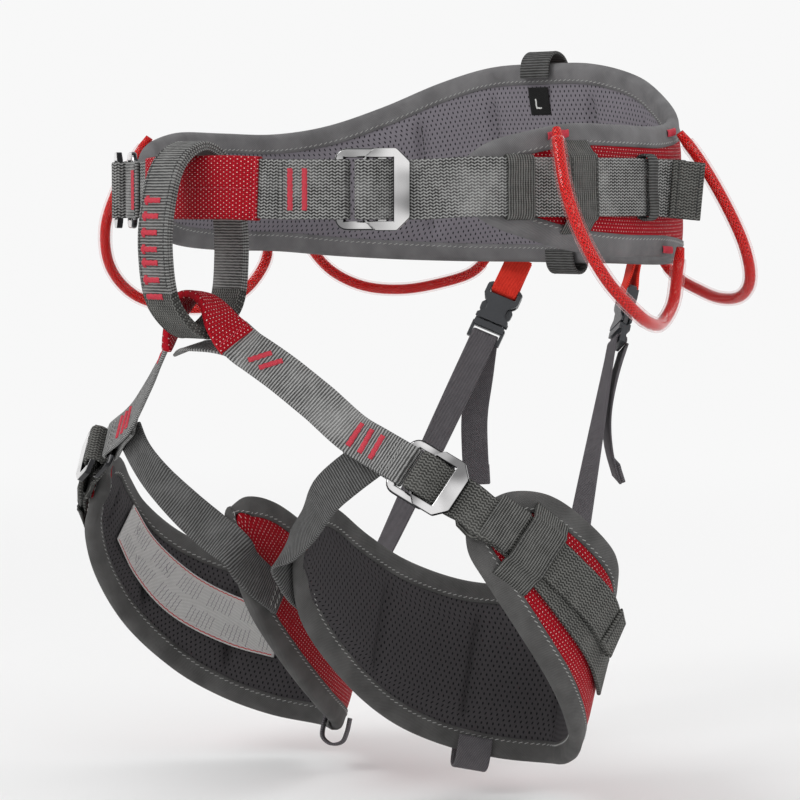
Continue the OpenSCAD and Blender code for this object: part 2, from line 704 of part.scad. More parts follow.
module inner_strap_left() {
    path = concat(smooth(INNER_STRAP, 3), [
        pad_station(LEG, 0.75, 0, load_h + 3), pad_station(LEG, 1.25, 0.13, load_h + 0.9),
        pad_station(LEG, 1.8, 0.24, load_h + 0.6), pad_station(LEG, 2.4, 0.33, load_h + 0.6)
    ]);
    color(web_grey)
    web(path, leg_web_w, web_t);
}
module inner_strap_right() { mirror([1, 0, 0]) inner_strap_left(); }

// Folded webbing tab that wraps the knee edge at the back of the leg loop
module knee_tab_left() {
    path = [
        for (p = [[8, -6.4, -1], [0, -6.6, -1], [-5.5, -5.4, -1], [-8, 0, 0], [-5.5, 5.4, 1],
                  [0, 6.6, 1], [8, 6.4, 1]])
            let (s = at(LEG, 5.6), d = unit(high(s) - low(s)), o = pad_out(LEG, 5.6))
            concat(low(s) + d*p[0] + o*p[1], p[2] == 0 ? -d : o*p[2])
    ];
    color(web_grey)
    web(path, 18, riser_t);
}
module knee_tab_right() { mirror([1, 0, 0]) knee_tab_left(); }

// Elastic band over the doubled webbing of the leg loop
module leg_band(t, w) {
    s = at(LEG, t);
    tall = norm(high(s) - low(s));
    top = tail_h + web_t/2 + gap + 1.4;
    reach = (leg_web_w/2 + 1.4)/tall;
    path = [
        for (p = [[1/tall, binding_t/2 + 1], [0.52 - reach - 1.6/tall, top - 2], [0.52 - reach, top],
                  [0.52, top + 0.2], [0.52 + reach, top], [0.52 + reach + 1.6/tall, top - 2],
                  [1 - 1/tall, binding_t/2 + 1]])
            pad_station(LEG, t, p[0], p[1])
    ];
    web(path, w, 1.2);
}
module leg_bands_left() { color(binding_grey) leg_band(12.7, 20); }
module leg_bands_right() { mirror([1, 0, 0]) leg_bands_left(); }

waist_foam();
waist_lining();
waist_shell();
waist_binding();
waist_webbing();
hip_bands();
tie_in_webbing();
tie_in_sleeve();
waist_frame_left();
waist_frame_right();
waist_slider_left();
waist_slider_right();
haul_strap();
size_label();
gear_cord_1();
gear_tube_1();
gear_cord_2();
gear_tube_2();
gear_cord_3();
gear_tube_3();
gear_cord_4();
gear_tube_4();
belay_loop();
lower_sleeve();
lower_webbing();
bridge_strap();
riser_tabs();
riser_sockets();
knee_tab_left();
knee_tab_right();
riser_plug_left();
riser_plug_right();
riser_arms_left_a();
riser_arms_left_b();
riser_arms_right_a();
riser_arms_right_b();
riser_strap_left();
riser_strap_right();
riser_tail_left();
riser_tail_right();
leg_foam_left();
leg_foam_right();
leg_lining_left();
leg_lining_right();
leg_shell_left();
leg_shell_right();
leg_binding_left();
leg_binding_right();
leg_strap_left();
leg_strap_right();
leg_webbing_left();
leg_webbing_right();
leg_frame_left();
leg_frame_right();
leg_slider_left();
leg_slider_right();
inner_strap_left();
inner_strap_right();
leg_bands_left();
leg_bands_right();
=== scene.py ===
"""Looks of the climbing harness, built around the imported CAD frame. Lengths in the tables are mm."""
import bpy, bmesh, math
import numpy as np
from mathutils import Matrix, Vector


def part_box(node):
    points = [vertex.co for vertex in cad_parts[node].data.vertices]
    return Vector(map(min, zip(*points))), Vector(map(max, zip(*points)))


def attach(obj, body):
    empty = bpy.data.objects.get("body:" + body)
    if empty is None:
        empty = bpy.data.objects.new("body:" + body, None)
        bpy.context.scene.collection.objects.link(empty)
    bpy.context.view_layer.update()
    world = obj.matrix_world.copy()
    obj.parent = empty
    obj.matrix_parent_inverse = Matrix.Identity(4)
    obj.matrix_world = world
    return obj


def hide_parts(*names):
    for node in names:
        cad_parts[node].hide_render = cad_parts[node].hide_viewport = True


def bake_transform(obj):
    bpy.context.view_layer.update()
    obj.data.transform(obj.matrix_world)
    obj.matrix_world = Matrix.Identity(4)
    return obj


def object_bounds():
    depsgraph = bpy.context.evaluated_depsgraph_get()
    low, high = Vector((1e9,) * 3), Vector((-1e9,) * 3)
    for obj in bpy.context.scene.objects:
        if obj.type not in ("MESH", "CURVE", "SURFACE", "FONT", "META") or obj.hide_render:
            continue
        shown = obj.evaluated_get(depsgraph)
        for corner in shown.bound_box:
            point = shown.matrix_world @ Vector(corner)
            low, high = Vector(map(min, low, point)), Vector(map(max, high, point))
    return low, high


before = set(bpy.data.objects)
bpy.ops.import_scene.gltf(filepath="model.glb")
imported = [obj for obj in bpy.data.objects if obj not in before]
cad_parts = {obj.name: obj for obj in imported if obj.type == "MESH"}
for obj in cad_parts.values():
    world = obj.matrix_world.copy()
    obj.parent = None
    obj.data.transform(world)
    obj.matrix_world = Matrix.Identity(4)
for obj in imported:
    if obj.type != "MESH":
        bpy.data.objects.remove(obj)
cad_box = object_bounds()

# ---------------------------------------------------------------- camera, light and floor
AIM, AZ, EL, DIST = Vector((0, 0, -0.107)), math.radians(42), math.radians(4), 1.5
cam_data = bpy.data.cameras.new("camera")
cam = bpy.data.objects.new("camera", cam_data)
bpy.context.collection.objects.link(cam)
cam_data.lens, cam_data.sensor_width, cam_data.clip_start = 128.25, 36, 0.01
way = Vector((math.sin(AZ) * math.cos(EL), -math.cos(AZ) * math.cos(EL), math.sin(EL)))
cam.location = AIM + way * DIST
cam.rotation_euler = (-way).to_track_quat("-Z", "Y").to_euler()
bpy.context.scene.camera = cam
bpy.context.scene.view_settings.view_transform = "Standard"


def area_light(name, place, size, power):
    d = bpy.data.lights.new(name, "AREA")
    d.shape, d.size, d.size_y, d.energy = "RECTANGLE", size[0], size[1], power
    o = bpy.data.objects.new(name, d)
    bpy.context.collection.objects.link(o)
    o.location = place
    o.rotation_euler = (AIM - Vector(place)).to_track_quat("-Z", "Y").to_euler()


BACKDROP = 0.92
area_light("key", (-0.6, -1.7, 1.5), (1.0, 1.0), 19)
area_light("fill", (1.9, -0.5, 0.5), (0.8, 1.4), 5)
area_light("rim", (0.3, 1.8, 1.2), (1.4, 0.7), 8)
world = bpy.data.worlds.new("studio")
world.use_nodes = True
world.node_tree.nodes["Background"].inputs[0].default_value = (1, 1, 1, 1)
world.node_tree.nodes["Background"].inputs[1].default_value = 0.62
bpy.context.scene.world = world

# ---------------------------------------------------------------- curves shared with the CAD


def unit(v):
    v = np.asarray(v, float)
    return v / max(np.linalg.norm(v), 1e-12)


def cubic(a, b, c, d, t):
    return 0.5 * (2 * b + (c - a) * t + (2 * a - 5 * b + 4 * c - d) * t * t + (3 * b - a - 3 * c + d) * t ** 3)


def at(s, t):
    last = len(s) - 1
    i = int(max(0, min(math.floor(t), last - 1)))
    return cubic(s[max(i - 1, 0)], s[i], s[i + 1], s[min(i + 2, last)], t - i)


def smooth(s, n):
    s = np.array(s, float)
    return [at(s, k / n) for k in range((len(s) - 1) * n + 1)]


FLIP = np.array([-1, 1, 1, -1, 1, 1], float)


def both_sides(half):
    half = [np.array(h, float) for h in half]
    return [h * FLIP for h in half[:0:-1]] + half


def mirrored(path):
    return [np.array(p, float) * FLIP[:len(p)] for p in path]


BELT_HALF = [
    [0, 116, 73, 0, 140, -37], [36, 116, 72, 34, 138, -37], [70, 111, 64, 66, 128, -37],
    [99, 96, 51, 95, 105, -36], [122, 73, 40, 121, 79, -34], [134, 42, 35, 135, 45, -31],
    [138, 6, 35, 140, 6, -30], [136, -28, 35, 138, -28, -27], [129, -52, 31, 130, -52, -21],
    [118.5, -70.5, 25, 119.5, -71.5, -13], [109.5, -82, 14, 109.5, -82, -1]]
LEG = np.array([
    [29, -97, -158, 27, -101, -168], [26, -88, -153, 22, -102, -187], [22, -72, -157, 18, -92, -214],
    [20, -48, -172, 19, -66, -244], [23, -20, -188, 24, -38, -268], [34, 10, -200, 36, -12, -283],
    [50, 38, -205, 58, 9, -291], [72, 52, -207, 82, 24, -293], [102, 38, -208, 104, 8, -288],
    [128, 12, -202, 125, -10, -278], [151, -12, -189, 141, -31, -262], [165, -30, -171, 150, -56, -237],
    [161, -47, -154, 148, -79, -208], [151, -62, -142, 140, -94, -183], [140, -78, -140, 132, -98, -169],
    [131, -90, -147, 127, -95, -158]], float)
BELT = np.array(both_sides(BELT_HALF))
MID = len(BELT_HALF) - 1
GEAR_FRONT = [[142, -46, 32], [148, -51, 20], [157, -57, 2], [166, -57, -18], [173, -47, -39],
              [175, -27, -55], [168, -4, -62], [158, 18, -62], [151, 36, -53], [146, 46, -39], [145, 50, -26]]
GEAR_REAR = [[138, 58, 32], [145, 66, 18], [153, 79, -6], [155, 92, -27], [149, 105, -43],
             [135, 117, -52], [114, 128, -54], [92, 138, -50], [74, 144, -44], [62, 145, -35]]
BUCKLES = {
    "waist": ([84, -113, 3], [0.8, 0.6, 0], [0.6, -0.8, 0]),
    "leg": ([114, -106, -134], [0.84, 0.28, -0.46], [0.47, -0.81, 0.36]),
    "clip": ([44, 138, -55], [0.13, -0.47, -0.87], [0.6, 0.74, -0.31])}
# Gap between layers, webbing and band thickness, height of the pad's skin, widths of the webbings
GAP, WEB, BAND, SHELL_H, WAIST_W, LEG_W, RISER_W = 0.3, 2.2, 1.3, 4.1, 28.5, 20, 15
CORD_D, TUBE_OUT, TUBE_IN = 5.5, 8.0, 6.0
LOAD_H = SHELL_H + GAP + WEB / 2
TAIL_H = LOAD_H + WEB + GAP


def high(s):
    return s[:3]


def low(s):
    return s[3:6]


def pad_out(pad, t):
    last = len(pad) - 1
    a, b, s = at(pad, max(t - 0.25, 0)), at(pad, min(t + 0.25, last)), at(pad, t)
    return unit(np.cross(high(s) - low(s), high(b) + low(b) - high(a) - low(a)))


def on_pad(pad, t, f, h):
    s = at(pad, t)
    return low(s) + (high(s) - low(s)) * f + pad_out(pad, t) * h


def pad_station(pad, t, f, h, side=1):
    return np.concatenate([on_pad(pad, t, f, h), pad_out(pad, t) * side])


def belt_web(t, z, h, side=1):
    s = at(BELT, MID + t)
    return pad_station(BELT, MID + t, (z - s[5]) / (s[2] - s[5]), h, side)


def frame_of(name):
    c, u, n = (np.array(x, float) for x in BUCKLES[name])
    u = unit(u)
    return c, u, unit(n - u * (u @ n))


def spot(name, s, h):
    c, u, n = frame_of(name)
    return c + u * s + n * h


def turn(name, rows, back):
    c, u, n = frame_of(name)
    out = []
    for s, h, a in rows:
        k = math.radians(a)
        face = n * math.cos(k) + u * math.sin(k)
        out.append(np.concatenate([spot(name, s, h), -face if back else face]))
    return out


SLIDER_TURN = [[26, -3.8, 0], [14, -3.6, 0], [8, -3.5, 0], [2, -3.2, 20], [-2.8, -0.8, 50], [-5.8, 2.4, 70],
               [-6.8, 6, 95], [-5.4, 8.8, 140], [-2.6, 9.3, 180], [1, 8.3, 205], [4.6, 5.5, 215],
               [8.6, 3.4, 195], [13, 3, 180], [22, 3, 180]]
FRAME_TURN = [[-44, 1.6, 0], [-30, 1.7, 0], [-23, 2.4, 0], [-17, 3, 0], [-12.2, 2.8, 45], [-11.4, 0, 90],
              [-12.2, -2.8, 135], [-17, -3, 180], [-23, -2.2, 180], [-30, -1.2, 180], [-44, -1, 180]]

# ---------------------------------------------------------------- mesh building


def finish_mesh(name, verts, faces, uvs, mats, ids=None):
    """A mesh object from points in mm, faces, one uv pair per face corner and material numbers."""
    me = bpy.data.meshes.new(name)
    me.from_pydata([tuple(v) for v in np.asarray(verts) * 0.001], [], [list(map(int, f)) for f in faces])
    layer = me.uv_layers.new(name="UVMap")
    layer.data.foreach_set("uv", np.asarray(uvs, np.float32).ravel())
    for m in mats:
        me.materials.append(m)
    if ids is not None:
        me.polygons.foreach_set("material_index", np.asarray(ids, np.int32))
    me.polygons.foreach_set("use_smooth", [True] * len(me.polygons))
    b = bmesh.new()
    b.from_mesh(me)
    bmesh.ops.recalc_face_normals(b, faces=b.faces)
    b.to_mesh(me)
    b.free()
    o = bpy.data.objects.new(name, me)
    bpy.context.collection.objects.link(o)
    return o


def tube_of(rings, ring_u, along, closed=False, ids=None):
    """Quads of a sweep through rings of equal length. ring_u has one more value than a ring."""
    rings = np.asarray(rings, float)
    n, m = rings.shape[:2]
    faces, uvs, fid = [], [], []
    for i in range(n if closed else n - 1):
        k = (i + 1) % n
        v1 = along[i + 1] if closed else along[k]
        for j in range(m):
            q = (j + 1) % m
            faces.append([i * m + j, i * m + q, k * m + q, k * m + j])
            uvs += [(ring_u[j], along[i]), (ring_u[j + 1], along[i]), (ring_u[j + 1], v1), (ring_u[j], v1)]
            fid.append(ids(i, j) if ids else 0)
    if not closed:
        for first, v in ((0, along[0]), ((n - 1) * m, along[-1])):
            for j in range(m // 2 - 1):
                faces.append([first + j, first + j + 1, first + m - 2 - j, first + m - 1 - j])
                uvs += [(ring_u[j], v), (ring_u[j + 1], v), (ring_u[m - 2 - j], v), (ring_u[m - 1 - j], v)]
                fid.append(ids(0 if first == 0 else n - 2, j) if ids else 0)
    return rings.reshape(-1, 3), faces, uvs, fid


def dense(st, step=2.0, closed=False):
    """Centripetal curve through stations, with points about step apart."""
    p = [np.array(s, float) for s in st]
    p = [p[-1]] + p + p[:2] if closed else [2 * p[0] - p[1]] + p + [2 * p[-1] - p[-2]]
    out = []
    for i in range(1, len(p) - 2):
        q = p[i - 1:i + 3]
        k = [0.0]
        for a, b in zip(q, q[1:]):
            k.append(k[-1] + max(np.linalg.norm(b[:3] - a[:3]), 0.01) ** 0.5)
        n = max(1, int(math.ceil(np.linalg.norm(q[2][:3] - q[1][:3]) / step)))
        for j in range(n):
            x = k[1] + (k[2] - k[1]) * j / n
            a1 = ((k[1] - x) * q[0] + (x - k[0]) * q[1]) / (k[1] - k[0])
            a2 = ((k[2] - x) * q[1] + (x - k[1]) * q[2]) / (k[2] - k[1])
            a3 = ((k[3] - x) * q[2] + (x - k[2]) * q[3]) / (k[3] - k[2])
            b1 = ((k[2] - x) * a1 + (x - k[0]) * a2) / (k[2] - k[0])
            b2 = ((k[3] - x) * a2 + (x - k[1]) * a3) / (k[3] - k[1])
            out.append(((k[2] - x) * b1 + (x - k[1]) * b2) / (k[2] - k[1]))
    if not closed:
        out.append(p[-2])
    return np.array(out)


class Strap:
    """Middle line of a webbing with its own frame: across, outward, and length so far."""

    def __init__(self, stations, step=2.0, closed=False, width=25.0, thick=WEB, slim=0.0):
        d = dense(stations, step, closed)
        self.p, self.closed = d[:, :3], closed
        n = len(d)
        if closed:
            f = np.roll(self.p, -1, 0) - np.roll(self.p, 1, 0)
        else:
            f = np.gradient(self.p, axis=0)
        self.f = f / np.linalg.norm(f, axis=1)[:, None]
        o = d[:, 3:] - self.f * np.einsum("ij,ij->i", d[:, 3:], self.f)[:, None]
        self.o = o / np.linalg.norm(o, axis=1)[:, None]
        self.a = np.cross(self.f, self.o)
        gaps = np.linalg.norm(np.diff(np.vstack([self.p, self.p[:1]]), axis=0), axis=1)
        self.s = np.concatenate([[0], np.cumsum(gaps)])[:n + 1 if closed else n]
        self.end = self.s[n - 1]
        self.w, self.t, self.slim = width, thick, slim

    def width_at(self, x):
        return self.w - self.slim * max(0.0, 1 - abs(x) / 20)

    def point(self, u, v, h):
        """Point u across, v along and h above the outer face."""
        i = int(np.clip(np.searchsorted(self.s[:len(self.p)], v) - 1, 0, len(self.p) - 2))
        k = (v - self.s[i]) / max(self.s[i + 1] - self.s[i], 1e-9)
        mix = lambda x: x[i] * (1 - k) + x[i + 1] * k
        return mix(self.p) + unit(mix(self.a)) * u + unit(mix(self.o)) * (self.t / 2 + h)

    def near(self, place):
        """Length along the strap closest to a point."""
        return float(self.s[int(np.argmin(np.linalg.norm(self.p - np.array(place, float), axis=1)))])


def web_section(w, t, layers=1):
    """Outline of a webbing: flat faces, a slightly proud selvedge and rounded, layered edges."""
    xs = np.concatenate([[-w / 2 + 0.35, -w / 2 + 1.3], np.linspace(-w / 2 + 2.4, w / 2 - 2.4, 5),
                         [w / 2 - 1.3, w / 2 - 0.35]])
    y = np.where(np.abs(xs) > w / 2 - 0.6, 0.4, np.where(np.abs(xs) > w / 2 - 2, 0.5, 0.46)) * t
    edge = []
    if layers == 1:
        edge = [(w / 2, 0.2 * t), (w / 2, -0.2 * t)]
    else:
        for k in range(layers):
            top = t / 2 - t * k / layers
            edge += [(w / 2, top - 0.25 * t / layers), (w / 2, top - 0.75 * t / layers)]
            if k < layers - 1:
                edge.append((w / 2 - 0.9, top - t / layers))
    top = list(zip(xs, y))
    right = edge
    bottom = [(-x, -h) for x, h in top]
    left = [(-x, -h) for x, h in right]
    return np.array(top + right + bottom + left)


def web_mesh(name, strap, mats, layers=1, ids=None):
    """The webbing of a strap, or a stack of layers of it."""
    rings = []
    for i in range(len(strap.p)):
        sec = web_section(strap.width_at(strap.p[i][0]), strap.t, layers)
        rings.append(strap.p[i] + sec[:, :1] * strap.a[i] + sec[:, 1:] * strap.o[i])
    u = np.concatenate([sec[:, 0], sec[:1, 0]])
    v, f, uv, fid = tube_of(rings, u, strap.s, strap.closed, ids=ids)
    return finish_mesh(name, v, f, uv, mats, fid if ids else None)


def round_tube(points, d, sides):
    """A round bar along points, with one diameter for each point."""
    p = np.array(points, float)
    f = np.gradient(p, axis=0)
    f /= np.linalg.norm(f, axis=1)[:, None]
    a = unit(np.cross(f[0], [0.31, 0.52, 0.79]))
    rings = []
    for i in range(len(p)):
        a = unit(a - f[i] * (a @ f[i]))
        b = np.cross(f[i], a)
        k = np.arange(sides) * 2 * math.pi / sides
        rings.append(p[i] + d[i] / 2 * (np.cos(k)[:, None] * a + np.sin(k)[:, None] * b))
    s = np.concatenate([[0], np.cumsum(np.linalg.norm(np.diff(p, axis=0), axis=1))])
    u = np.arange(sides + 1) / sides * math.pi * float(np.mean(d))
    return tube_of(rings, u, s)


class Detail:
    """Small sewn pieces on one body, gathered into one object for each material."""

    def __init__(self):
        self.parts = {}

    def add(self, key, v, f, uv):
        q = self.parts.setdefault(key, [[], [], []])
        base = sum(len(x) for x in q[0])
        q[0].append(np.asarray(v))
        q[1] += [[base + i for i in face] for face in f]
        q[2] += list(uv)

    def make(self, mats, slots):
        for (body, what), (v, f, uv) in self.parts.items():
            o = finish_mesh(f"{what}_{body}", np.vstack(v), f, uv, [mats[what]])
            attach(o, body)


detail = Detail()


def tack(body, place, u, v, length, width, angle=0, what="bar_tack"):
    """A dense bar of stitches on the surface place(u, v, height), length long across at an angle."""
    n = max(6, int(length / 0.42))
    verts, faces, uv = [], [], []
    ca, sa = math.cos(math.radians(angle)), math.sin(math.radians(angle))
    rows = [-0.5, -0.46, -0.2, 0.2, 0.46, 0.5]
    lift = [-0.3, 0.35, 0.62, 0.62, 0.35, -0.3]
    for i in range(2 * n + 1):
        x = (i / (2 * n) - 0.5) * length
        end = -0.5 if i in (0, 2 * n) else 0
        for r, h in zip(rows, lift):
            wobble = 0.12 * math.sin(i * 12.9898 + u) if abs(r) > 0.3 else 0
            y = r * width + wobble
            top = h + (0.2 if i % 2 else -0.05) if h > 0 else h
            verts.append(place(u + x * ca - y * sa, v + x * sa + y * ca, min(top, top + end)))
    for i in range(2 * n):
        for j in range(5):
            a = i * 6 + j
            faces.append([a, a + 1, a + 7, a + 6])
            uv += [(i, j), (i, j + 1), (i + 1, j + 1), (i + 1, j)]
    detail.add((body, what), verts, faces, uv)


def stitch(body, what, a, b, out, r=0.24):
    """One stitch: a short thread from a to b that dives into the cloth at both ends."""
    a, b, out = np.array(a, float), np.array(b, float), unit(out)
    d = b - a
    side = unit(np.cross(d, out))
    verts, faces, uv = [], [], []
    for k, (t, h) in enumerate(((-0.05, -0.35), (0.12, 0.12), (0.5, 0.24), (0.88, 0.12), (1.05, -0.35))):
        c = a + d * t + out * h
        for ang in range(5):
            w = ang * 2 * math.pi / 5
            verts.append(c + (side * math.cos(w) + out * math.sin(w)) * r)
    for k in range(4):
        for j in range(5):
            q = (j + 1) % 5
            faces.append([k * 5 + j, k * 5 + q, k * 5 + 5 + q, k * 5 + 5 + j])
            uv += [(j, k), (j + 1, k), (j + 1, k + 1), (j, k + 1)]
    detail.add((body, what), verts, faces, uv)


def seam(body, what, place, run, pitch=3.0, fill=0.72, zig=0.0, r=0.24):
    """A row of stitches over place(x, y, height) along run, a list of (x, y)."""
    run = np.array(run, float)
    pts = np.array([place(x, y, 0.0) for x, y in run])
    s = np.concatenate([[0], np.cumsum(np.linalg.norm(np.diff(pts, axis=0), axis=1))])
    n = max(1, int(s[-1] / pitch))
    for k in range(n):
        q = []
        for e, sign in ((0, 1), (fill, -1)):
            v = (k + e) * s[-1] / n
            x, y = np.interp(v, s, run[:, 0]), np.interp(v, s, run[:, 1])
            c = place(x, y, 0.0)
            out = unit(place(x, y, 1.0) - c)
            m = np.interp(min(v + 0.5, s[-1]), s, run[:, 0]), np.interp(min(v + 0.5, s[-1]), s, run[:, 1])
            side = np.cross(place(*m, 0.0) - c, out)
            c = c + (unit(side) * zig * sign if np.linalg.norm(side) > 1e-9 else 0)
            q.append(c)
        stitch(body, what, q[0], q[1], out, r)


def seam_across(body, what, strap, at_length, reach, count, pitch=2.2, fill=0.8, zig=0.0, r=0.24):
    """A seam across a strap, reach mm to both sides, drawn through count points."""
    seam(body, what, strap.point, [(x, at_length) for x in np.linspace(-reach, reach, count)], pitch, fill, zig, r)


def fold_over(strap, lift, start, end, count):
    """Stations of the folded end that lies lift mm above a strap's outer face."""
    return [np.concatenate([strap.point(0, v, lift), unit(strap.point(0, v, 2) - strap.point(0, v, 1))])
            for v in np.linspace(start, end, count)]


# ---------------------------------------------------------------- materials


class Nodes:
    """Short names for building a material's node tree."""

    def __init__(self, name, rough=0.8, **sockets):
        self.mat = bpy.data.materials.new(name)
        self.mat.use_nodes = True
        self.tree = self.mat.node_tree
        self.bsdf = self.tree.nodes["Principled BSDF"]
        self.bsdf.inputs["Roughness"].default_value = rough
        for k, v in sockets.items():
            self.bsdf.inputs[k.replace("_", " ")].default_value = v
        uv = self.tree.nodes.new("ShaderNodeUVMap")
        uv.uv_map = "UVMap"
        split = self.tree.nodes.new("ShaderNodeSeparateXYZ")
        self.tree.links.new(uv.outputs[0], split.inputs[0])
        self.u, self.v = split.outputs[0], split.outputs[1]
        self.place = self.tree.nodes.new("ShaderNodeTexCoord").outputs["Object"]

    def put(self, socket, value):
        if isinstance(value, bpy.types.NodeSocket):
            self.tree.links.new(value, socket)
        elif value is not None:
            socket.default_value = value

    def m(self, op, a, b=None):
        n = self.tree.nodes.new("ShaderNodeMath")
        n.operation = op
        for s, v in zip(n.inputs, (a, b)):
            self.put(s, v)
        return n.outputs[0]

    def mul(self, a, b):
        return self.m("MULTIPLY", a, b)

    def add(self, a, b):
        return self.m("ADD", a, b)

    def ramp(self, x, lo, hi, a=0.0, b=1.0):
        n = self.tree.nodes.new("ShaderNodeMapRange")
        n.interpolation_type = "SMOOTHSTEP"
        for s, v in zip(n.inputs[:5], (x, lo, hi, a, b)):
            self.put(s, v)
        return n.outputs[0]

    def mix(self, fac, a, b):
        n = self.tree.nodes.new("ShaderNodeMix")
        n.data_type = "RGBA"
        self.put(n.inputs["Factor"], fac)
        for s, v in ((n.inputs[6], a), (n.inputs[7], b)):
            self.put(s, v if isinstance(v, bpy.types.NodeSocket) else (*v, 1))
        return n.outputs[2]

    def noise(self, scale, detail_level=3.0, place=None):
        n = self.tree.nodes.new("ShaderNodeTexNoise")
        n.inputs["Scale"].default_value = scale
        n.inputs["Detail"].default_value = detail_level
        self.tree.links.new(place or self.place, n.inputs["Vector"])
        return n.outputs["Fac"]

    def wave(self, x, period, phase=None):
        x = self.mul(x, 2 * math.pi / period)
        return self.m("SINE", self.add(x, phase) if phase is not None else x)

    def dots(self, du, dv, ru, rv):
        """1 inside the ellipses of a staggered grid, du by dv mm apart."""
        y = self.m("DIVIDE", self.v, dv)
        row = self.m("FLOOR", y)
        x = self.add(self.m("DIVIDE", self.u, du), self.mul(self.m("MODULO", row, 2.0), 0.5))
        fx = self.mul(self.m("SUBTRACT", self.m("FRACT", x), 0.5), du / ru)
        fy = self.mul(self.m("SUBTRACT", self.m("FRACT", y), 0.5), dv / rv)
        d = self.add(self.mul(fx, fx), self.mul(fy, fy))
        return self.ramp(d, 1.35, 0.6)

    def done(self, colour, height=None, bump=0.5, distance=0.0004, rough=None):
        """Colour, bump height in a share of distance (metres), and roughness where it varies."""
        self.put(self.bsdf.inputs["Base Color"], colour)
        if rough is not None:
            self.put(self.bsdf.inputs["Roughness"], rough)
        if height is not None:
            b = self.tree.nodes.new("ShaderNodeBump")
            b.inputs["Strength"].default_value = bump
            b.inputs["Distance"].default_value = distance
            self.put(b.inputs["Height"], height)
            self.tree.links.new(b.outputs[0], self.bsdf.inputs["Normal"])
        return self.mat


def webbing(name, dark, light, pattern, worn=0.25):
    """Woven webbing: herringbone, cross ribs or elastic ribs, with uneven wear."""
    g = Nodes(name, 0.85, Specular_IOR_Level=0.22)
    fine = g.wave(g.u, 0.85)
    blotch = g.noise(260, 4)
    if pattern == "herringbone":
        zig = g.mul(g.m("PINGPONG", g.m("DIVIDE", g.v, 1.45), 1.0), 3.3)
        main = g.wave(g.u, 1.5, zig)
        second = g.wave(g.v, 1.45)
        height = g.add(main, g.mul(second, 0.5))
    elif pattern == "rib":
        zig = g.mul(g.noise(420, 2), 2.2)
        main = g.wave(g.v, 1.45, zig)
        height = g.add(main, g.mul(fine, 0.3))
    elif pattern == "elastic":
        zig = g.mul(g.noise(220, 3), 3.0)
        main = g.wave(g.u, 1.3, zig)
        height = g.add(main, g.mul(g.wave(g.v, 0.9), 0.45))
    else:
        main = g.wave(g.add(g.u, g.mul(g.v, 0.8)), 1.0)
        height = g.add(main, g.mul(fine, 0.2))
    tone = g.ramp(g.add(height, g.mul(g.m("SUBTRACT", blotch, 0.5), 1.6)), -0.6, 0.8)
    col = g.mix(tone, dark, light)
    wide = g.noise(45, 3)
    col = g.mix(g.mul(g.ramp(wide, 0.45, 0.75), worn), col, [min(1, x * 1.5) for x in light])
    return g.done(col, height, 0.6, 0.0005)


def lining_cloth(name, base, hole):
    """Spacer mesh with staggered long holes and a soft pile."""
    g = Nodes(name, 0.9, Specular_IOR_Level=0.15)
    d = g.dots(3.0, 2.5, 0.42, 0.72)
    fuzz = g.noise(900, 2)
    col = g.mix(g.ramp(g.noise(30, 3), 0.3, 0.8), base, [x * 1.12 for x in base])
    col = g.mix(g.mul(fuzz, 0.3), col, [x * 0.7 for x in base])
    col = g.mix(d, col, hole)
    height = g.m("SUBTRACT", g.mul(fuzz, 0.35), g.mul(d, 1.2))
    return g.done(col, height, 0.6, 0.0007)


def dotted_mesh(name, base, dot):
    """Red open mesh with light threads that show as rows of dots."""
    g = Nodes(name, 0.7, Specular_IOR_Level=0.12)
    d = g.dots(2.1, 1.75, 0.26, 0.3)
    net = g.add(g.wave(g.u, 0.95), g.wave(g.v, 0.9))
    rows = g.wave(g.v, 3.5)
    col = g.mix(g.ramp(net, -1.2, 1.6), [x * 0.5 for x in base], [min(1, x * 1.25) for x in base])
    col = g.mix(g.ramp(rows, 0.2, 1.0, 0.0, 0.3), col, [x * 0.45 for x in base])
    bright = g.ramp(g.noise(500, 2), 0.35, 0.6, 0.35, 1.0)
    col = g.mix(g.mul(d, bright), col, dot)
    height = g.add(g.mul(net, 0.4), g.mul(d, 1.2))
    return g.done(col, height, 0.6, 0.0004)


def binding_cloth(name, dark, light):
    """Stretch binding: fine slanted twill with a slight sheen."""
    g = Nodes(name, 0.8, Specular_IOR_Level=0.25)
    twill = g.wave(g.add(g.u, g.mul(g.v, 0.7)), 0.9, g.mul(g.noise(260, 2), 5.0))
    puck = g.noise(75, 3)
    col = g.mix(g.ramp(g.add(g.mul(twill, 0.35), g.mul(puck, 2.2)), 0.2, 2.0), dark, light)
    height = g.add(g.mul(twill, 0.12), g.mul(puck, 3.0))
    return g.done(col, height, 0.55, 0.0011)


def thread(name, base):
    """Sewing thread and printed marks."""
    g = Nodes(name, 0.6, Specular_IOR_Level=0.2)
    n = g.noise(1500, 2)
    return g.done(g.mix(n, [x * 0.6 for x in base], [min(1, x * 1.3) for x in base]), n, 0.3, 0.0002)


def braid(name, base):
    """Braided cord: two crossed sets of strands and pale flecks."""
    g = Nodes(name, 0.5, Specular_IOR_Level=0.2)
    slant = g.mul(g.v, 0.62)
    a, b = g.add(g.u, slant), g.m("SUBTRACT", g.u, slant)
    weave = g.m("MAXIMUM", g.wave(a, 1.5), g.wave(b, 1.5))
    fleck = g.ramp(g.noise(700, 2), 0.6, 0.68)
    col = g.mix(g.ramp(weave, 0.0, 0.95), [x * 0.3 for x in base], base)
    col = g.mix(g.mul(fleck, 0.35), col, (0.8, 0.35, 0.3))
    return g.done(col, weave, 0.6, 0.0004)


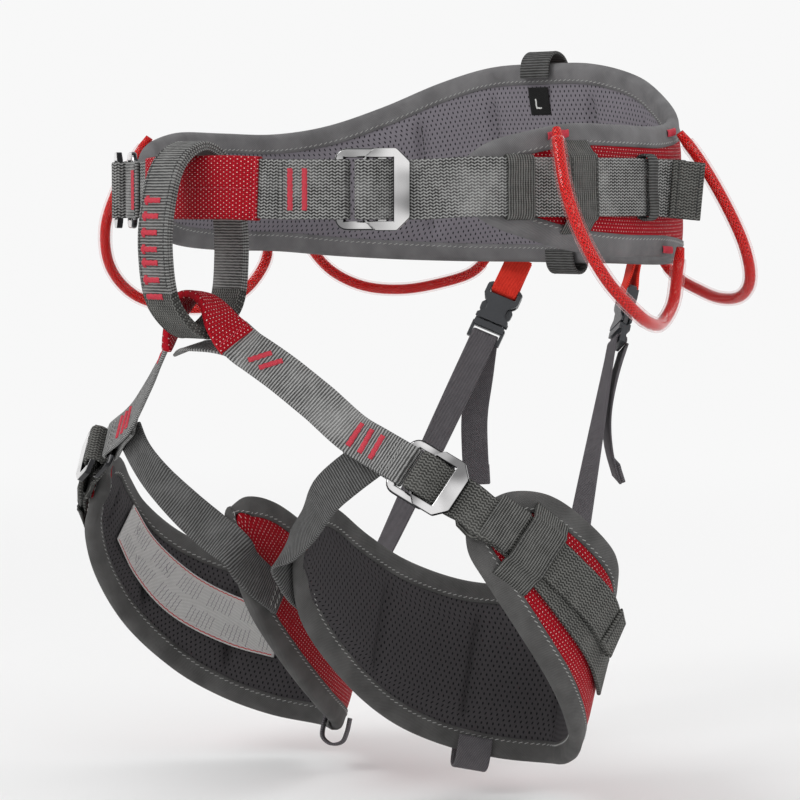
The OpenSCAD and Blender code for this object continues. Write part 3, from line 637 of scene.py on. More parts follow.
def steel_with_painted_reflection(name):
    """Polished steel with a painted reflection: the base colour runs in bright and dark bands that follow the
    rounded edges and is dimmed in painted reflection streaks, with fine scratches in the bump and roughness.
    """
    g = Nodes(name, 0.14, Metallic=1.0)
    scratch = g.tree.nodes.new("ShaderNodeMapping")
    scratch.inputs["Scale"].default_value = (1, 14, 1)
    g.tree.links.new(g.place, scratch.inputs[0])
    n = g.noise(350, 5, scratch.outputs[0])
    normal = g.tree.nodes.new("ShaderNodeTexCoord").outputs["Normal"]
    # Painted reflection: faces that lie flat in a buckle plate get the bright colour, the rounded edges the dark
    # one
    flat = 0.0
    for plate in ("waist", "leg"):
        for flip in (1, -1):
            d = g.tree.nodes.new("ShaderNodeVectorMath")
            d.operation = "DOT_PRODUCT"
            g.tree.links.new(normal, d.inputs[0])
            d.inputs[1].default_value = frame_of(plate)[2] * [flip, 1, 1]
            flat = g.m("MAXIMUM", g.m("ABSOLUTE", d.outputs["Value"]), flat)
    # Painted reflection streaks: a stretched noise dims the bright colour in patches
    painted_reflection_streaks = g.ramp(g.noise(42, 1), 0.36, 0.62, 0.25, 1.0)
    col = g.mix(g.mul(g.ramp(flat, 0.92, 0.995), painted_reflection_streaks), (0.03, 0.03, 0.032), (0.8, 0.79, 0.79))
    return g.done(col, n, 0.02, 0.0002, g.ramp(n, 0.3, 0.8, 0.12, 0.22))


def moulded(name, base):
    """Moulded plastic with a fine grain."""
    g = Nodes(name, 0.4, Coat_Weight=0.12)
    n = g.noise(1200, 3)
    col = g.mix(g.noise(80, 2), base, [x * 1.5 for x in base])
    return g.done(col, n, 0.12, 0.0002, g.ramp(n, 0.2, 0.9, 0.32, 0.55))


# Each kind of surface: the function that makes it, and the dark and light tones of each material
KINDS = (
    (webbing, {
        "belt_web": ((0.026, 0.026, 0.025), (0.32, 0.32, 0.315), "herringbone"),
        "leg_web": ((0.06, 0.06, 0.059), (0.35, 0.35, 0.345), "rib"),
        "tail_web": ((0.03, 0.03, 0.028), (0.16, 0.16, 0.15), "herringbone", 0.15),
        "inner_web": ((0.04, 0.04, 0.039), (0.15, 0.15, 0.149), "rib"),
        "dark_web": ((0.03, 0.03, 0.029), (0.12, 0.12, 0.118), "rib", 0.1),
        "loop_web": ((0.045, 0.045, 0.044), (0.26, 0.26, 0.255), "rib"),
        "elastic": ((0.03, 0.03, 0.028), (0.17, 0.17, 0.163), "elastic", 0.12),
        "riser_web": ((0.07, 0.065, 0.072), (0.17, 0.16, 0.17), "twill", 0.1),
        "riser_tab": ((0.6, 0.016, 0.008), (0.95, 0.06, 0.035), "twill", 0.0),
        "label": ((0.004, 0.004, 0.004), (0.02, 0.02, 0.02), "twill", 0.0),
        "care_label": ((0.5, 0.49, 0.48), (0.72, 0.71, 0.7), "twill", 0.0)}),
    (lining_cloth, {
        "lining": ((0.18, 0.167, 0.188), (0.022, 0.02, 0.024)),
        "leg_lining": ((0.056, 0.052, 0.055), (0.007, 0.007, 0.008))}),
    (dotted_mesh, {
        "red_mesh": ((0.4, 0.003, 0.012), (0.85, 0.6, 0.58))}),
    (binding_cloth, {
        "binding": ((0.1, 0.098, 0.1), (0.19, 0.186, 0.19)),
        "leg_binding": ((0.055, 0.054, 0.053), (0.11, 0.108, 0.106))}),
    (thread, {
        "bar_tack": ((0.56, 0.05, 0.075),),
        "pale_thread": ((0.36, 0.36, 0.35),),
        "dark_thread": ((0.05, 0.05, 0.05),),
        "print": ((0.62, 0.62, 0.6),),
        "care_print": ((0.3, 0.29, 0.3),),
        "care_red": ((0.55, 0.08, 0.08),)}),
    (braid, {
        "cord": ((0.78, 0.012, 0.01),)}),
    (steel_with_painted_reflection, {
        "steel": ()}),
    (moulded, {
        "plastic": ((0.022, 0.024, 0.028),)}))
MAT = {name: make(name, *tones) for make, kinds in KINDS for name, tones in kinds.items()}
# Clear tube: red tint where seen face-on so the cord shows through, and pale, more opaque rims where seen edge-on,
# a painted reflection
tube = Nodes("clear_tube", 0.06, Specular_IOR_Level=0.9, Coat_Weight=0.6)
rim = tube.tree.nodes.new("ShaderNodeLayerWeight")
rim.inputs["Blend"].default_value = 0.35
# How edge-on the tube is seen: it sets the alpha and the painted rim reflection
edge = tube.m("POWER", rim.outputs["Facing"], 3.4)
tube.put(tube.bsdf.inputs["Alpha"], tube.add(tube.mul(edge, 0.7), 0.1))
ripple = tube.noise(90, 2)
MAT["clear_tube"] = tube.done(tube.mix(edge, (0.7, 0.012, 0.01), (0.96, 0.88, 0.88)), ripple, 0.03, 0.0006)
SLOTS = {"bar_tack": "webbing", "pale_thread": "binding", "dark_thread": "binding", "print": "label",
         "care_print": "label", "care_red": "label"}


def place_piece(o, body, slot, *nodes):
    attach(o, body)
    if nodes:
        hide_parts(*nodes)
    return o


def placed_web(name, strap, mat, body, *nodes, slot="webbing"):
    place_piece(web_mesh(name, strap, [MAT[mat]]), body, slot, *nodes)


# ---------------------------------------------------------------- padding


def pad_height(d, reach=20.0):
    """Height of the padding's face d mm in from its edge."""
    k = min(1.0, max(0.0, d / reach))
    return 2.5 + 1.55 * k * k * (3 - 2 * k)


def pad_face(pad, t, f, side, grooves):
    """Distance of a pad face from the middle sheet, with sewn channels on the lining side."""
    s = at(pad, t)
    tall = np.linalg.norm(high(s) - low(s))
    d = min(f, 1 - f) * tall
    h = pad_height(d, min(20.0, tall * 0.4))
    if side < 0:
        k = min((abs(t - g) for g in grooves), default=9) * 30
        inside = min(1.0, max(0.0, (d - 14) / 9))
        h += inside * (0.9 * min(1.0, k / 12) - 3.2 * math.exp(-(k / 2.8) ** 2))
        h += 0.25 * inside * math.sin(t * 2.3) * math.sin(f * 7 + t)
    return h


def pad_piece(name, pad, grooves, mirror, lining):
    last = len(pad) - 1
    mid = [on_pad(pad, t, 0.5, 0) for t in np.linspace(0, last, 20 * last)]
    run = np.concatenate([[0], np.cumsum(np.linalg.norm(np.diff(mid, axis=0), axis=1))])
    inset = 4.5
    ts = np.interp(np.linspace(inset, run[-1] - inset, 20 * last), run, np.linspace(0, last, 20 * last))
    rows = 26
    rings, high_at = [], []
    for t in ts:
        s, n = at(pad, t), pad_out(pad, t)
        tall = np.linalg.norm(high(s) - low(s))
        fs = np.linspace(min(0.4, inset / tall), 1 - min(0.4, inset / tall), rows)
        sheet = [low(s) + (high(s) - low(s)) * f for f in fs]
        rings.append([p + n * pad_face(pad, t, f, 1, grooves) for p, f in zip(sheet, fs)]
                     + [p - n * pad_face(pad, t, f, -1, grooves) for p, f in zip(sheet[::-1], fs[::-1])])
        high_at.append(np.concatenate([(fs - 0.5) * tall, (fs[::-1] - 0.5) * tall]))
    rings = np.array(rings)
    far = np.cumsum(np.linalg.norm(np.diff(rings, axis=0, prepend=rings[:1]), axis=2), axis=0)
    far -= far[len(ts) // 2]
    if mirror:
        rings[:, :, 0] *= -1
    v, faces, uvs, ids = tube_of(rings, np.zeros(2 * rows + 1), ts, ids=lambda i, j: 0 if j < rows else 1)
    uvs = []
    for i in range(len(ts) - 1):
        for j in range(2 * rows):
            q = (j + 1) % (2 * rows)
            uvs += [(far[a, b], high_at[a][b]) for a, b in ((i, j), (i, q), (i + 1, q), (i + 1, j))]
    uvs += [(0, 0)] * (4 * len(faces) - len(uvs))
    return finish_mesh(name, v, faces, uvs, [MAT["red_mesh"], lining], ids)


def channel_stitches(body, pad, grooves, mirror):
    """A row of dark stitches down the middle of each sewn channel of the lining."""
    side = np.array([-1 if mirror else 1, 1, 1])
    for g in grooves:
        s = at(pad, g)
        tall = np.linalg.norm(high(s) - low(s))
        if tall < 40:
            continue

        def where(x, f, h, g=g):
            return on_pad(pad, g, f, -(pad_face(pad, g, f, -1, grooves) + h)) * side
        run = [(0, f) for f in np.linspace(19 / tall, 1 - 19 / tall, 14)]
        seam(body, "dark_thread", where, run, 2.8, 0.75)


def outline(pad):
    """The pad's edge as one closed loop: point, outward face and share of the reach inwards."""
    last = len(pad) - 1
    ts = np.arange(0, last + 1e-6, 1 / 14)
    nose = []
    for end, flip in ((last, False), (0, True)):
        s, n = at(pad, end), pad_out(pad, end)
        a, b = (low(s), high(s)) if flip else (high(s), low(s))
        inner = at(pad, end + (0.3 if flip else -0.3))
        bulge = unit((a + b) / 2 - (high(inner) + low(inner)) / 2)
        half = np.linalg.norm(a - b) / 2
        nose.append([((a + b) / 2 + (a - b) / 2 * math.cos(k) + bulge * half * 0.6 * math.sin(k), n)
                     for k in np.linspace(0.3, math.pi - 0.3, 7)])
    top = [(high(at(pad, t)), pad_out(pad, t)) for t in ts]
    bottom = [(low(at(pad, t)), pad_out(pad, t)) for t in ts[::-1]]
    loop = top + nose[0] + bottom + nose[1]
    p, n = np.array([x[0] for x in loop]), np.array([x[1] for x in loop])
    for _ in range(2):
        p = (np.roll(p, 1, 0) + 2 * p + np.roll(p, -1, 0)) / 4
        n = (np.roll(n, 1, 0) + 2 * n + np.roll(n, -1, 0)) / 4
    f = np.roll(p, -1, 0) - np.roll(p, 1, 0)
    f /= np.linalg.norm(f, axis=1)[:, None]
    n = n - f * np.einsum("ij,ij->i", n, f)[:, None]
    n /= np.linalg.norm(n, axis=1)[:, None]
    inward = np.cross(n, f)
    share = np.ones(len(p))
    k = len(ts)
    tall = [np.linalg.norm(high(at(pad, t)) - low(at(pad, t))) for t in ts]
    for i in range(k):
        share[i] = min(1, tall[i] * 0.42 / BIND_W)
        share[k + 7 + (k - 1 - i)] = share[i]
    share[k:k + 7], share[-7:] = share[k - 1], share[0]
    if np.mean(np.einsum("ij,ij->i", inward[:k], np.array([low(at(pad, t)) - high(at(pad, t)) for t in ts]))) < 0:
        inward = -inward
    return p, n, inward, share


BIND_W, ROLL_R, STITCH_IN = 11.0, 3.4, 9.0
BIND_X = [BIND_W, 10.6, 8.0, 5.5, 3.2, 1.6, 0.5, 0.0]


def bind_height(x):
    """Height of the binding's face x mm in from the pad's edge: a round roll, then flat to a thin hem."""
    h = pad_height(max(x, ROLL_R)) + 0.75
    if x < ROLL_R:
        h *= math.sqrt(max(0.0, 1 - ((ROLL_R - x) / ROLL_R) ** 2))
    return h if x < BIND_W - 0.2 else h - 0.7


def binding_piece(name, body, pad, mirror):
    """Rolled binding with a stitch line on both faces."""
    p, n, inward, share = outline(pad)
    if mirror:
        p, n, inward = (x * [-1, 1, 1] for x in (p, n, inward))
    rings = []
    for i in range(len(p)):
        ring = []
        for side in (1, -1):
            xs = BIND_X if side > 0 else BIND_X[-2::-1]
            for x in xs:
                ring.append(p[i] + inward[i] * x * share[i] + n[i] * side * bind_height(x))
        rings.append(ring)
    s = np.concatenate([[0], np.cumsum(np.linalg.norm(np.diff(np.vstack([p, p[:1]]), axis=0), axis=1))])
    around = np.concatenate([[0], np.cumsum(np.linalg.norm(np.diff(np.array(rings[20]), axis=0), axis=1))])
    around = np.append(around, around[-1] + 7)
    v, f, uv, _ = tube_of(rings, around, s, closed=True)
    o = finish_mesh(name, v, f, uv, [MAT["binding" if body == "waist" else "leg_binding"]])

    def line(side):
        def where(x, d, h):
            i = int(np.clip(np.searchsorted(s, x) - 1, 0, len(p) - 1))
            q, k = (i + 1) % len(p), (x - s[i]) / (s[i + 1] - s[i])
            mix = lambda a: a[i] * (1 - k) + a[q] * k
            sh = share[i] * (1 - k) + share[q] * k
            return mix(p) + mix(inward) * d * sh + mix(n) * side * (bind_height(d) + h - 0.1)
        return where
    run = [(x, STITCH_IN) for x in np.arange(0, s[-1], 4.0)]
    for side in (1, -1):
        seam(body, "pale_thread", line(side), run, 3.1, 0.7, 0.45, 0.23)
    return o

# ---------------------------------------------------------------- waist belt

# Places of the sewn channels along the pad, in stations
BELT_SEAMS = [3.2, 5.4, 7.6, 9.0, 11.0, 12.4, 14.6, 16.8]
belt_pad = place_piece(pad_piece("waist_pad", BELT, BELT_SEAMS, False, MAT["lining"]), "waist", "lining",
                       "waist_foam", "waist_lining", "waist_shell")
channel_stitches("waist", BELT, BELT_SEAMS, False)
place_piece(binding_piece("waist_binding_roll", "waist", BELT, False), "waist", "binding", "waist_binding")

half = ([belt_web(t, 4, LOAD_H + 0.2, -1) for t in np.arange(0, 8.01, 0.5)]
        + [belt_web(t, 4, LOAD_H + 0.9, -1) for t in (8.6, 9.2, 9.8)] + turn("waist", SLIDER_TURN, True)
        + [belt_web(t, 4, TAIL_H + 1, 1) for t in (9.4, 8.8, 8.2)]
        + [belt_web(t, 4, TAIL_H + 0.4, 1) for t in (7.6, 7.0, 6.4, 5.8)]
        + [np.array([146.3, 28, 4, 1, 0.05, 0]), np.array([158, 49, 2, 0.8, -0.6, 0])])
belt_strap = Strap(both_sides(half), 1.6, width=WAIST_W)
placed_web("waist_belt_webbing", belt_strap, "belt_web", "waist", "waist_webbing")
for m in (1, -1):
    # The tail's end is folded back and sewn
    total = belt_strap.end
    a = total - 17 if m > 0 else 17
    b = total - 0.4 if m > 0 else 0.4
    piece = Strap(fold_over(belt_strap, 1.35, a, b, 6), 1.6, width=WAIST_W + 0.4, thick=2.3)
    placed_web(f"waist_tail_fold_{'left' if m > 0 else 'right'}", piece, "tail_web", "waist")
    for v in (3, 14):
        seam_across("waist", "dark_thread", piece, v, 13, 9, r=0.25)


def band(name, body, path, width, mirror, mat="elastic", nodes=()):
    st = Strap(mirrored(path) if mirror else path, 1.2, width=width, thick=BAND)
    place_piece(web_mesh(name, st, [MAT[mat]]), body, "elastic", *nodes)
    return st


TOP = TAIL_H + WEB / 2 + GAP + 1.2


def under(half_w, top):
    """Rows of a keeper that is tucked under both edges of a webbing."""
    out = [(half_w - 3.2, SHELL_H + 0.6), (half_w - 0.6, SHELL_H + 0.9),
           (half_w + 0.9, top - 3), (half_w - 0.6, top)]
    return [(-a, h) for a, h in out] + [(0, top + 0.2)] + out[::-1]


def wide_rows(low_edge, high_edge, middle, reach):
    """Rows of an elastic band sewn to both edges of a pad, over a webbing of half-width reach."""
    lower = [(low_edge + 8.6, 3.3), (low_edge + 10.4, 5.0),
             (middle - reach - 1.6, TOP - 2.4), (middle - reach, TOP)]
    upper = [(middle + reach, TOP), (middle + reach + 1.6, TOP - 2.4),
             (high_edge - 10.4, 5.0), (high_edge - 8.6, 3.3)]
    return lower + [(middle, TOP + 0.2)] + upper


def band_seams(body, st, reach):
    """Dark stitches along both edges of a band, over its middle half."""
    run = np.linspace(st.s[len(st.p) // 4], st.s[3 * len(st.p) // 4], 10)
    for e in (-reach, reach):
        seam(body, "dark_thread", st.point, [(e, v) for v in run], 2.4, 0.75, 0, 0.22)


for side, m in (("left", False), ("right", True)):
    for k, (t, w, top) in enumerate(((8.35, 14, TOP), (7.05, 18, TOP), (5.65, 8, TOP + 1.2))):
        s = at(BELT, MID + t)
        if k == 1:
            rows = wide_rows(s[5], s[2], 4, 15)
        else:
            rows = [(4 + a, h) for a, h in under(WAIST_W / 2 + (0.8 if k else 0), top)]
        path = [belt_web(t, z, h, 1) for z, h in rows]
        st = band(f"hip_band_{side}_{k + 1}", "waist", path, w, m, "elastic" if k < 2 else "dark_web",
                     nodes=("hip_bands",) if k == 0 and not m else ())
        if k < 2:
            band_seams("waist", st, w / 2 - 1.2)

# Tie-in webbing and its red sleeve
tie_half = ([np.array([0, -150, 4, 0, 1, 0], float), np.array([24, -147.6, 4, -0.2, 1, 0])]
            + turn("waist", FRAME_TURN, False)[::-1])
tie_strap = Strap(both_sides(tie_half), 1.6, width=WAIST_W)
placed_web("tie_in_loop_webbing", tie_strap, "belt_web", "waist", "tie_in_webbing")
for m in (1, -1):
    total = tie_strap.end
    end = total if m > 0 else 0.0
    for back in (5, 12):
        tack("waist", tie_strap.point, 0, end - m * back, 20, 2.6)
    seam_across("waist", "dark_thread", tie_strap, end - m * 1.5, 13, 9, 2.3, r=0.25)
for m in (1, -1):
    hem = tie_strap.near([41.5 * m, -140.5, 3.4])
    for k in (2.0, 4.4):
        seam_across("waist", "dark_thread", tie_strap, hem + m * k, 12, 10, 2.5, 0.75, r=0.3)


def sleeve_mesh(name, strap, mat):
    """Soft sleeve over a webbing: rounded outline with a raised hem at each end."""
    rings = []
    total = strap.end
    for i in range(len(strap.p)):
        w = strap.width_at(strap.p[i][0])
        e = min(strap.s[i], total - strap.s[i])
        puff = 0.35 if e < 2.4 else 0.12 * math.sin(strap.s[i] * 0.5)
        h = strap.t / 2 + puff
        xs = np.linspace(-w / 2 + 0.7, w / 2 - 0.7, 11)
        ys = [h * (1 - 0.1 * (2 * abs(x) / w) ** 4) - (0.4 if abs(x) < 0.4 and e > 2.4 else 0) for x in xs]
        top = list(zip(xs, ys)) + [(w / 2, h * 0.5), (w / 2, -h * 0.5)]
        sec = np.array(top + [(-x, -y) for x, y in top])
        rings.append(strap.p[i] + sec[:, :1] * strap.a[i] + sec[:, 1:] * strap.o[i])
    u = np.concatenate([sec[:, 0], sec[:1, 0]])
    v, f, uv, _ = tube_of(rings, u, strap.s)
    return finish_mesh(name, v, f, uv, [mat])


sleeve_half = [[0, -150, 4, 0, -1, 0], [24, -147.6, 4, 0.2, -1, 0], [38, -142.5, 3.4, 0.43, -0.9, 0]]
up_sleeve = Strap(both_sides(sleeve_half), 1.2, width=WAIST_W + 2.2, thick=4.6)
place_piece(sleeve_mesh("tie_in_sleeve_red", up_sleeve, MAT["red_mesh"]), "waist", "red_mesh", "tie_in_sleeve")
total = up_sleeve.end
for v in (1.4, total - 1.4):
    seam_across("waist", "bar_tack", up_sleeve, v, 15, 12, zig=0.3, r=0.25)
seam("waist", "bar_tack", up_sleeve.point, [(0.4, v) for v in np.linspace(3, total - 3, 20)], 2.4, 0.7, 0, 0.2)

# Haul loop, size label and the low fold under the back edge
HAUL = [[0, 110.8, 65, 0, -1, 0], [0, 110.8, 70, 0, -1, 0], [0, 112.2, 75.2, 0, -0.8, 0.6], [0, 117.5, 79, 0, 0, 1],
        [0, 125, 76.4, 0, 0.7, 0.7], [0, 130, 67, 0, 1, 0.2], [0, 131, 54, 0, 1, 0], [0, 129.5, 43, 0, 1, 0],
        [0, 135.4, 27, 0, 1, 0.2], [0, 141.5, 10, 0, 1, 0.2], [0, 143, -10, 0, 1, 0.1], [0, 144.8, -22, 0, 1, 0.2],
        [0, 146.6, -33, 0, 1, -0.1], [0, 145, -40.4, 0, 0.6, -0.8], [0, 140, -42.6, 0, 0, -1],
        [0, 135, -39.5, 0, -0.7, -0.7], [0, 132.8, -30, 0, -1, 0]]
haul = Strap(HAUL, 1.4, width=20, thick=1.8)
placed_web("haul_loop_webbing", haul, "dark_web", "waist", "haul_strap")
for z in (44, 38):
    tack("waist", haul.point, 0, haul.near([0, 130, z]), 15, 2.6)
label = Strap([[0, y, z, 0, -0.98, -0.21] for y, z in ((117, 45), (115.1, 52.5), (113.7, 60))], 1.2,
              width=14, thick=0.7)
placed_web("size_label_woven", label, "label", "waist", "size_label", slot="label")
for cu, cv, l, w, a in ((-2.2, 6.4, 5.4, 0.9, 90), (-0.6, 3.9, 3.8, 0.9, 0)):
    tack("waist", lambda u, v, h: label.point(u, v, h * 0.35), cu, cv, l, w, a, what="print")

# ---------------------------------------------------------------- gear loops
for k, (route, mirror) in enumerate(((GEAR_FRONT, 0), (GEAR_REAR, 0), (GEAR_FRONT, 1), (GEAR_REAR, 1)), 1):
    body = f"gear_loop_{k}"
    pts = dense([np.array(p, float) * ([-1, 1, 1] if mirror else [1, 1, 1]) for p in route], 1.6)
    n = len(pts)
    ease = [min(1.0, 0.74 + 0.26 * min(i, n - 1 - i) / 4) for i in range(n)]
    v, f, uv, _ = round_tube(pts, [CORD_D * e for e in ease], 18)
    place_piece(finish_mesh(f"gear_cord_braided_{k}", v, f, uv, [MAT["cord"]]), body, "cord", f"gear_cord_{k}")
    inner = pts[4:n - 4]
    wide = [TUBE_OUT * min(1.0, 0.9 + 0.05 * min(i, len(inner) - 1 - i)) for i in range(len(inner))]
    outer, bore = (round_tube(inner, d, 24)[0].reshape(len(inner), 24, 3) for d in (wide, [TUBE_IN] * len(inner)))
    loop = np.concatenate([outer, bore[::-1]])
    v, f, uv, _ = tube_of(loop, np.arange(25) * 1.05, np.arange(len(loop) + 1) * 1.6, closed=True)
    shell = finish_mesh(f"gear_tube_clear_{k}", v, f, uv, [MAT["clear_tube"]])
    place_piece(shell, body, "clear_tube", f"gear_tube_{k}")
    # Each end is sewn to the belt's binding with a bar tack
    for e in (0, 1):
        p0 = pts[0] if e == 0 else pts[-1]
        sx = np.sign(p0[0])
        ts = np.linspace(MID, 2 * MID - 0.2, 160) if sx > 0 else np.linspace(0.2, MID, 160)
        t = min(ts, key=lambda x: np.linalg.norm((high(at(BELT, x)) if e == 0 else low(at(BELT, x))) - p0))
        tall = np.linalg.norm(high(at(BELT, t)) - low(at(BELT, t)))
        along = np.linalg.norm(on_pad(BELT, t + 0.1, 0.5, 0) - on_pad(BELT, t - 0.1, 0.5, 0)) / 0.2
        base = tall - 4.4 if e == 0 else 4.0

        def on_belt(u, v, h, t=t, tall=tall, along=along, base=base):
            return on_pad(BELT, t + u / along, (base + v) / tall, 4.1 + h)
        tack("waist", on_belt, -4.5 * sx if e == 0 and k in (1, 3) else 0, 0, 11, 3.6)

# ---------------------------------------------------------------- belay loop and lower tie-in
BELAY = [[-150, 24], [-165, 16], [-173, -4], [-175, -28], [-169, -53], [-149, -67], [-129, -55], [-124, -30],
         [-126, -6], [-135, 16]]
centre = np.mean(BELAY, axis=0)
stations = []
for i, (y, z) in enumerate(BELAY):
    a, b = BELAY[i - 1], BELAY[(i + 1) % len(BELAY)]
    tangent = unit([0, b[0] - a[0], b[1] - a[1]])
    out = np.cross([1, 0, 0], tangent)
    out = out if out @ np.array([0, y - centre[0], z - centre[1]]) > 0 else -out
    stations.append(np.concatenate([[0, y, z], out]))
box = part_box("belay_loop")
belay = Strap(stations, 1.3, closed=True, width=(box[1][0] - box[0][0]) * 1000, thick=5)
place_piece(web_mesh("belay_loop_webbing", belay, [MAT["loop_web"], MAT["tail_web"]], layers=3,
                     ids=lambda i, j: 1 if belay.p[i][2] < -46 else 0), "belay_loop", "webbing", "belay_loop")
for k in range(7):
    tack("belay_loop", belay.point, 1.5, belay.near([0, -174, -2 - 7.6 * k]), 10.5, 2.5)
    if k < 6:
        tack("belay_loop", belay.point, 5.2, belay.near([0, -174, -2 - 7.6 * k]), 1.6, 4.6)
for x in (-8.2, 8.2):
    run = [(x, v) for v in np.linspace(belay.near([0, -160, 19]), belay.near([0, -174, -44]), 20)]
    seam("belay_loop", "dark_thread", belay.point, run, 2.6, 0.7, 0, 0.2)

LOWER = [[0, -149, -48, 0, 0.1, 1], [10, -148, -52, 0.3, 0, 0.95], [16.5, -146.5, -61.5, 0.5, -0.4, 0.65],
         [23, -143, -70.5, 0.5, -0.68, 0.54]]
low_sleeve = Strap(smooth(both_sides(LOWER), 2), 1.2, width=LEG_W - 0.4, thick=4.6, slim=9)
place_piece(sleeve_mesh("lower_sleeve_red", low_sleeve, MAT["red_mesh"]), "lower_tie_in", "red_mesh",
            "lower_sleeve")
total = low_sleeve.end
for v in (3.8, total - 3.8):
    seam_across("lower_tie_in", "bar_tack", low_sleeve, v, 8.6, 9, 2.1, zig=0.3, r=0.25)
low_web = Strap(smooth(both_sides(LOWER), 2), 1.4, width=LEG_W - 3.2, thick=2.2, slim=9)
placed_web("lower_tie_in_webbing", low_web, "leg_web", "lower_tie_in", "lower_webbing")
BRIDGE = [[0, -142, -73, 0, -0.25, 1], [10, -140.5, -73.5, 0.1, -0.25, 1], [19, -136, -76, 0.2, -0.3, 1]]
bridge = Strap(both_sides(BRIDGE), 1.4, width=16, thick=1.8)
placed_web("bridge_strap_webbing", bridge, "leg_web", "lower_tie_in", "bridge_strap")

# ---------------------------------------------------------------- leg loops
LEG_STRAP = [[20.5, -144.2, -67, 0.5, -0.66, 0.56], [27.2, -140.8, -73.3, 0.5, -0.68, 0.54],
             [43, -132.8, -85, 0.53, -0.72, 0.45], [61, -125.2, -99.4, 0.51, -0.76, 0.4]]
INNER = [[85, -113, -124, 0.47, -0.81, 0.36], [72, -118, -134, 0.4, -0.9, 0.2], [58, -119, -145, 0.1, -1, 0.1],
         [42, -113, -160, -0.3, -0.94, 0.1], [27, -108.5, -171, -0.65, -0.75, 0.1]]
LEG_SEAMS = [3.6, 5.4, 7.2, 9.0, 10.8, 12.6]
RISER_TAIL = {
    "left": [[50, 127, -83, 0.6, 0.74, -0.31], [52, 116, -100, 0.6, 0.75, -0.2], [53, 109, -120, 0.6, 0.8, 0],
             [53, 111, -138, 0.6, 0.8, 0.1], [53, 118, -154, 0.6, 0.8, 0.2]],
    "right": [[50, 127.5, -83, 0.6, 0.74, -0.31], [51, 125, -102, 0.6, 0.75, -0.2], [51, 120, -128, 0.6, 0.8, 0],
              [50, 121, -164, 0.6, 0.8, 0.1]]}
for side, m in (("left", False), ("right", True)):
    body = f"leg_{side}"
    look = (lambda path: mirrored(path)) if m else (lambda path: path)
    pad = place_piece(pad_piece(f"leg_pad_{side}", LEG, LEG_SEAMS, m, MAT["leg_lining"]), body, "lining",
                      f"leg_foam_{side}", f"leg_lining_{side}", f"leg_shell_{side}")
    channel_stitches(body, LEG, LEG_SEAMS, m)
    place_piece(binding_piece(f"leg_binding_roll_{side}", body, LEG, m), body, "binding", f"leg_binding_{side}")
    strap = Strap(look(LEG_STRAP[:1] + smooth(LEG_STRAP[1:], 3) + turn("leg", FRAME_TURN, False)), 1.4, width=LEG_W)
    placed_web(f"leg_strap_webbing_{side}", strap, "leg_web", body, f"leg_strap_{side}")
    sx = -1 if m else 1
    mark = strap.near(np.array([30, -139.5, -75]) * [sx, 1, 1])
    for k in (4, 10.5):
        tack(body, strap.point, 0, mark + k, 12, 2.5, -34 * sx)
    mark = strap.near(spot("leg", -42, 1.6) * [sx, 1, 1])
    for k in (0, 6.3, 12.6):
        tack(body, strap.point, 0, mark + k, 13, 2.6, 4 * sx)
    for k in (20, 23.5):
        seam_across(body, "pale_thread", strap, mark + k, 8.5, 9, 2.4, 0.7, 0.4, 0.2)
    path = ([pad_station(LEG, t, 0.46, LOAD_H + 0.7, -1) for t in np.arange(9.6, 13.21, 0.45)]
            + [pad_station(LEG, t, 0.5, LOAD_H + 1, -1) for t in (13.9, 14.6)] + turn("leg", SLIDER_TURN, True)
            + [pad_station(LEG, t, f, TAIL_H + h, 1) for t, f, h in (
                (14, 0.5, 1), (13.3, 0.52, 0.5), (12.6, 0.54, 0.4),
                (11.9, 0.57, 0.6), (11.1, 0.6, 1), (10.3, 0.6, 1.6))])
    load = Strap(look(path), 1.5, width=LEG_W)
    placed_web(f"leg_webbing_{side}", load, "tail_web", body, f"leg_webbing_{side}")
    tail = Strap(fold_over(load, 0.8, load.end - 15, load.end - 0.4, 5), 1.5, width=LEG_W + 0.3, thick=1.5)
    placed_web(f"leg_tail_fold_{side}", tail, "tail_web", body)
    seam_across(body, "dark_thread", tail, 3, 8.8, 8)
    path = smooth(INNER, 3) + [pad_station(LEG, t, f, LOAD_H + h) for t, f, h in (
        (0.75, 0, 3), (1.25, 0.13, 0.9), (1.8, 0.24, 0.6), (2.4, 0.33, 0.6))]
    inner = Strap(look(path), 1.4, width=LEG_W)
    placed_web(f"inner_strap_webbing_{side}", inner, "inner_web", body, f"inner_strap_{side}")
    for k in (3, 6.5):
        seam_across(body, "pale_thread", inner, inner.end - k, 8.5, 8, 2.6, 0.7, 0.6)
    s = at(LEG, 12.7)
    tall = np.linalg.norm(high(s) - low(s))
    rows = [pad_station(LEG, 12.7, x / tall, h) for x, h in wide_rows(0, tall, 0.52 * tall, LEG_W / 2 + 1.4)]
    band_seams(body, band(f"leg_band_wide_{side}", body, rows, 20, m, nodes=(f"leg_bands_{side}",)), 8.8)
    s = at(LEG, 13.6)
    tall = np.linalg.norm(high(s) - low(s))
    rows = [(0.53 + a / tall, h) for a, h in under(LEG_W / 2, TOP)]
    band(f"leg_keeper_{side}", body, [pad_station(LEG, 13.6, f, h) for f, h in rows], 16, m)
    s, o = at(LEG, 5.6), pad_out(LEG, 5.6)
    d = unit(high(s) - low(s))
    path = [np.concatenate([low(s) + d * x + o * y, -d if q == 0 else o * q]) for x, y, q in (
        (8, -6.4, -1), (0, -6.6, -1), (-5.5, -5.4, -1), (-8, 0, 0), (-5.5, 5.4, 1), (0, 6.6, 1), (8, 6.4, 1))]
    tab = Strap(look(path), 1.2, width=18, thick=1.6)
    placed_web(f"knee_tab_webbing_{side}", tab, "riser_web", body, f"knee_tab_{side}")
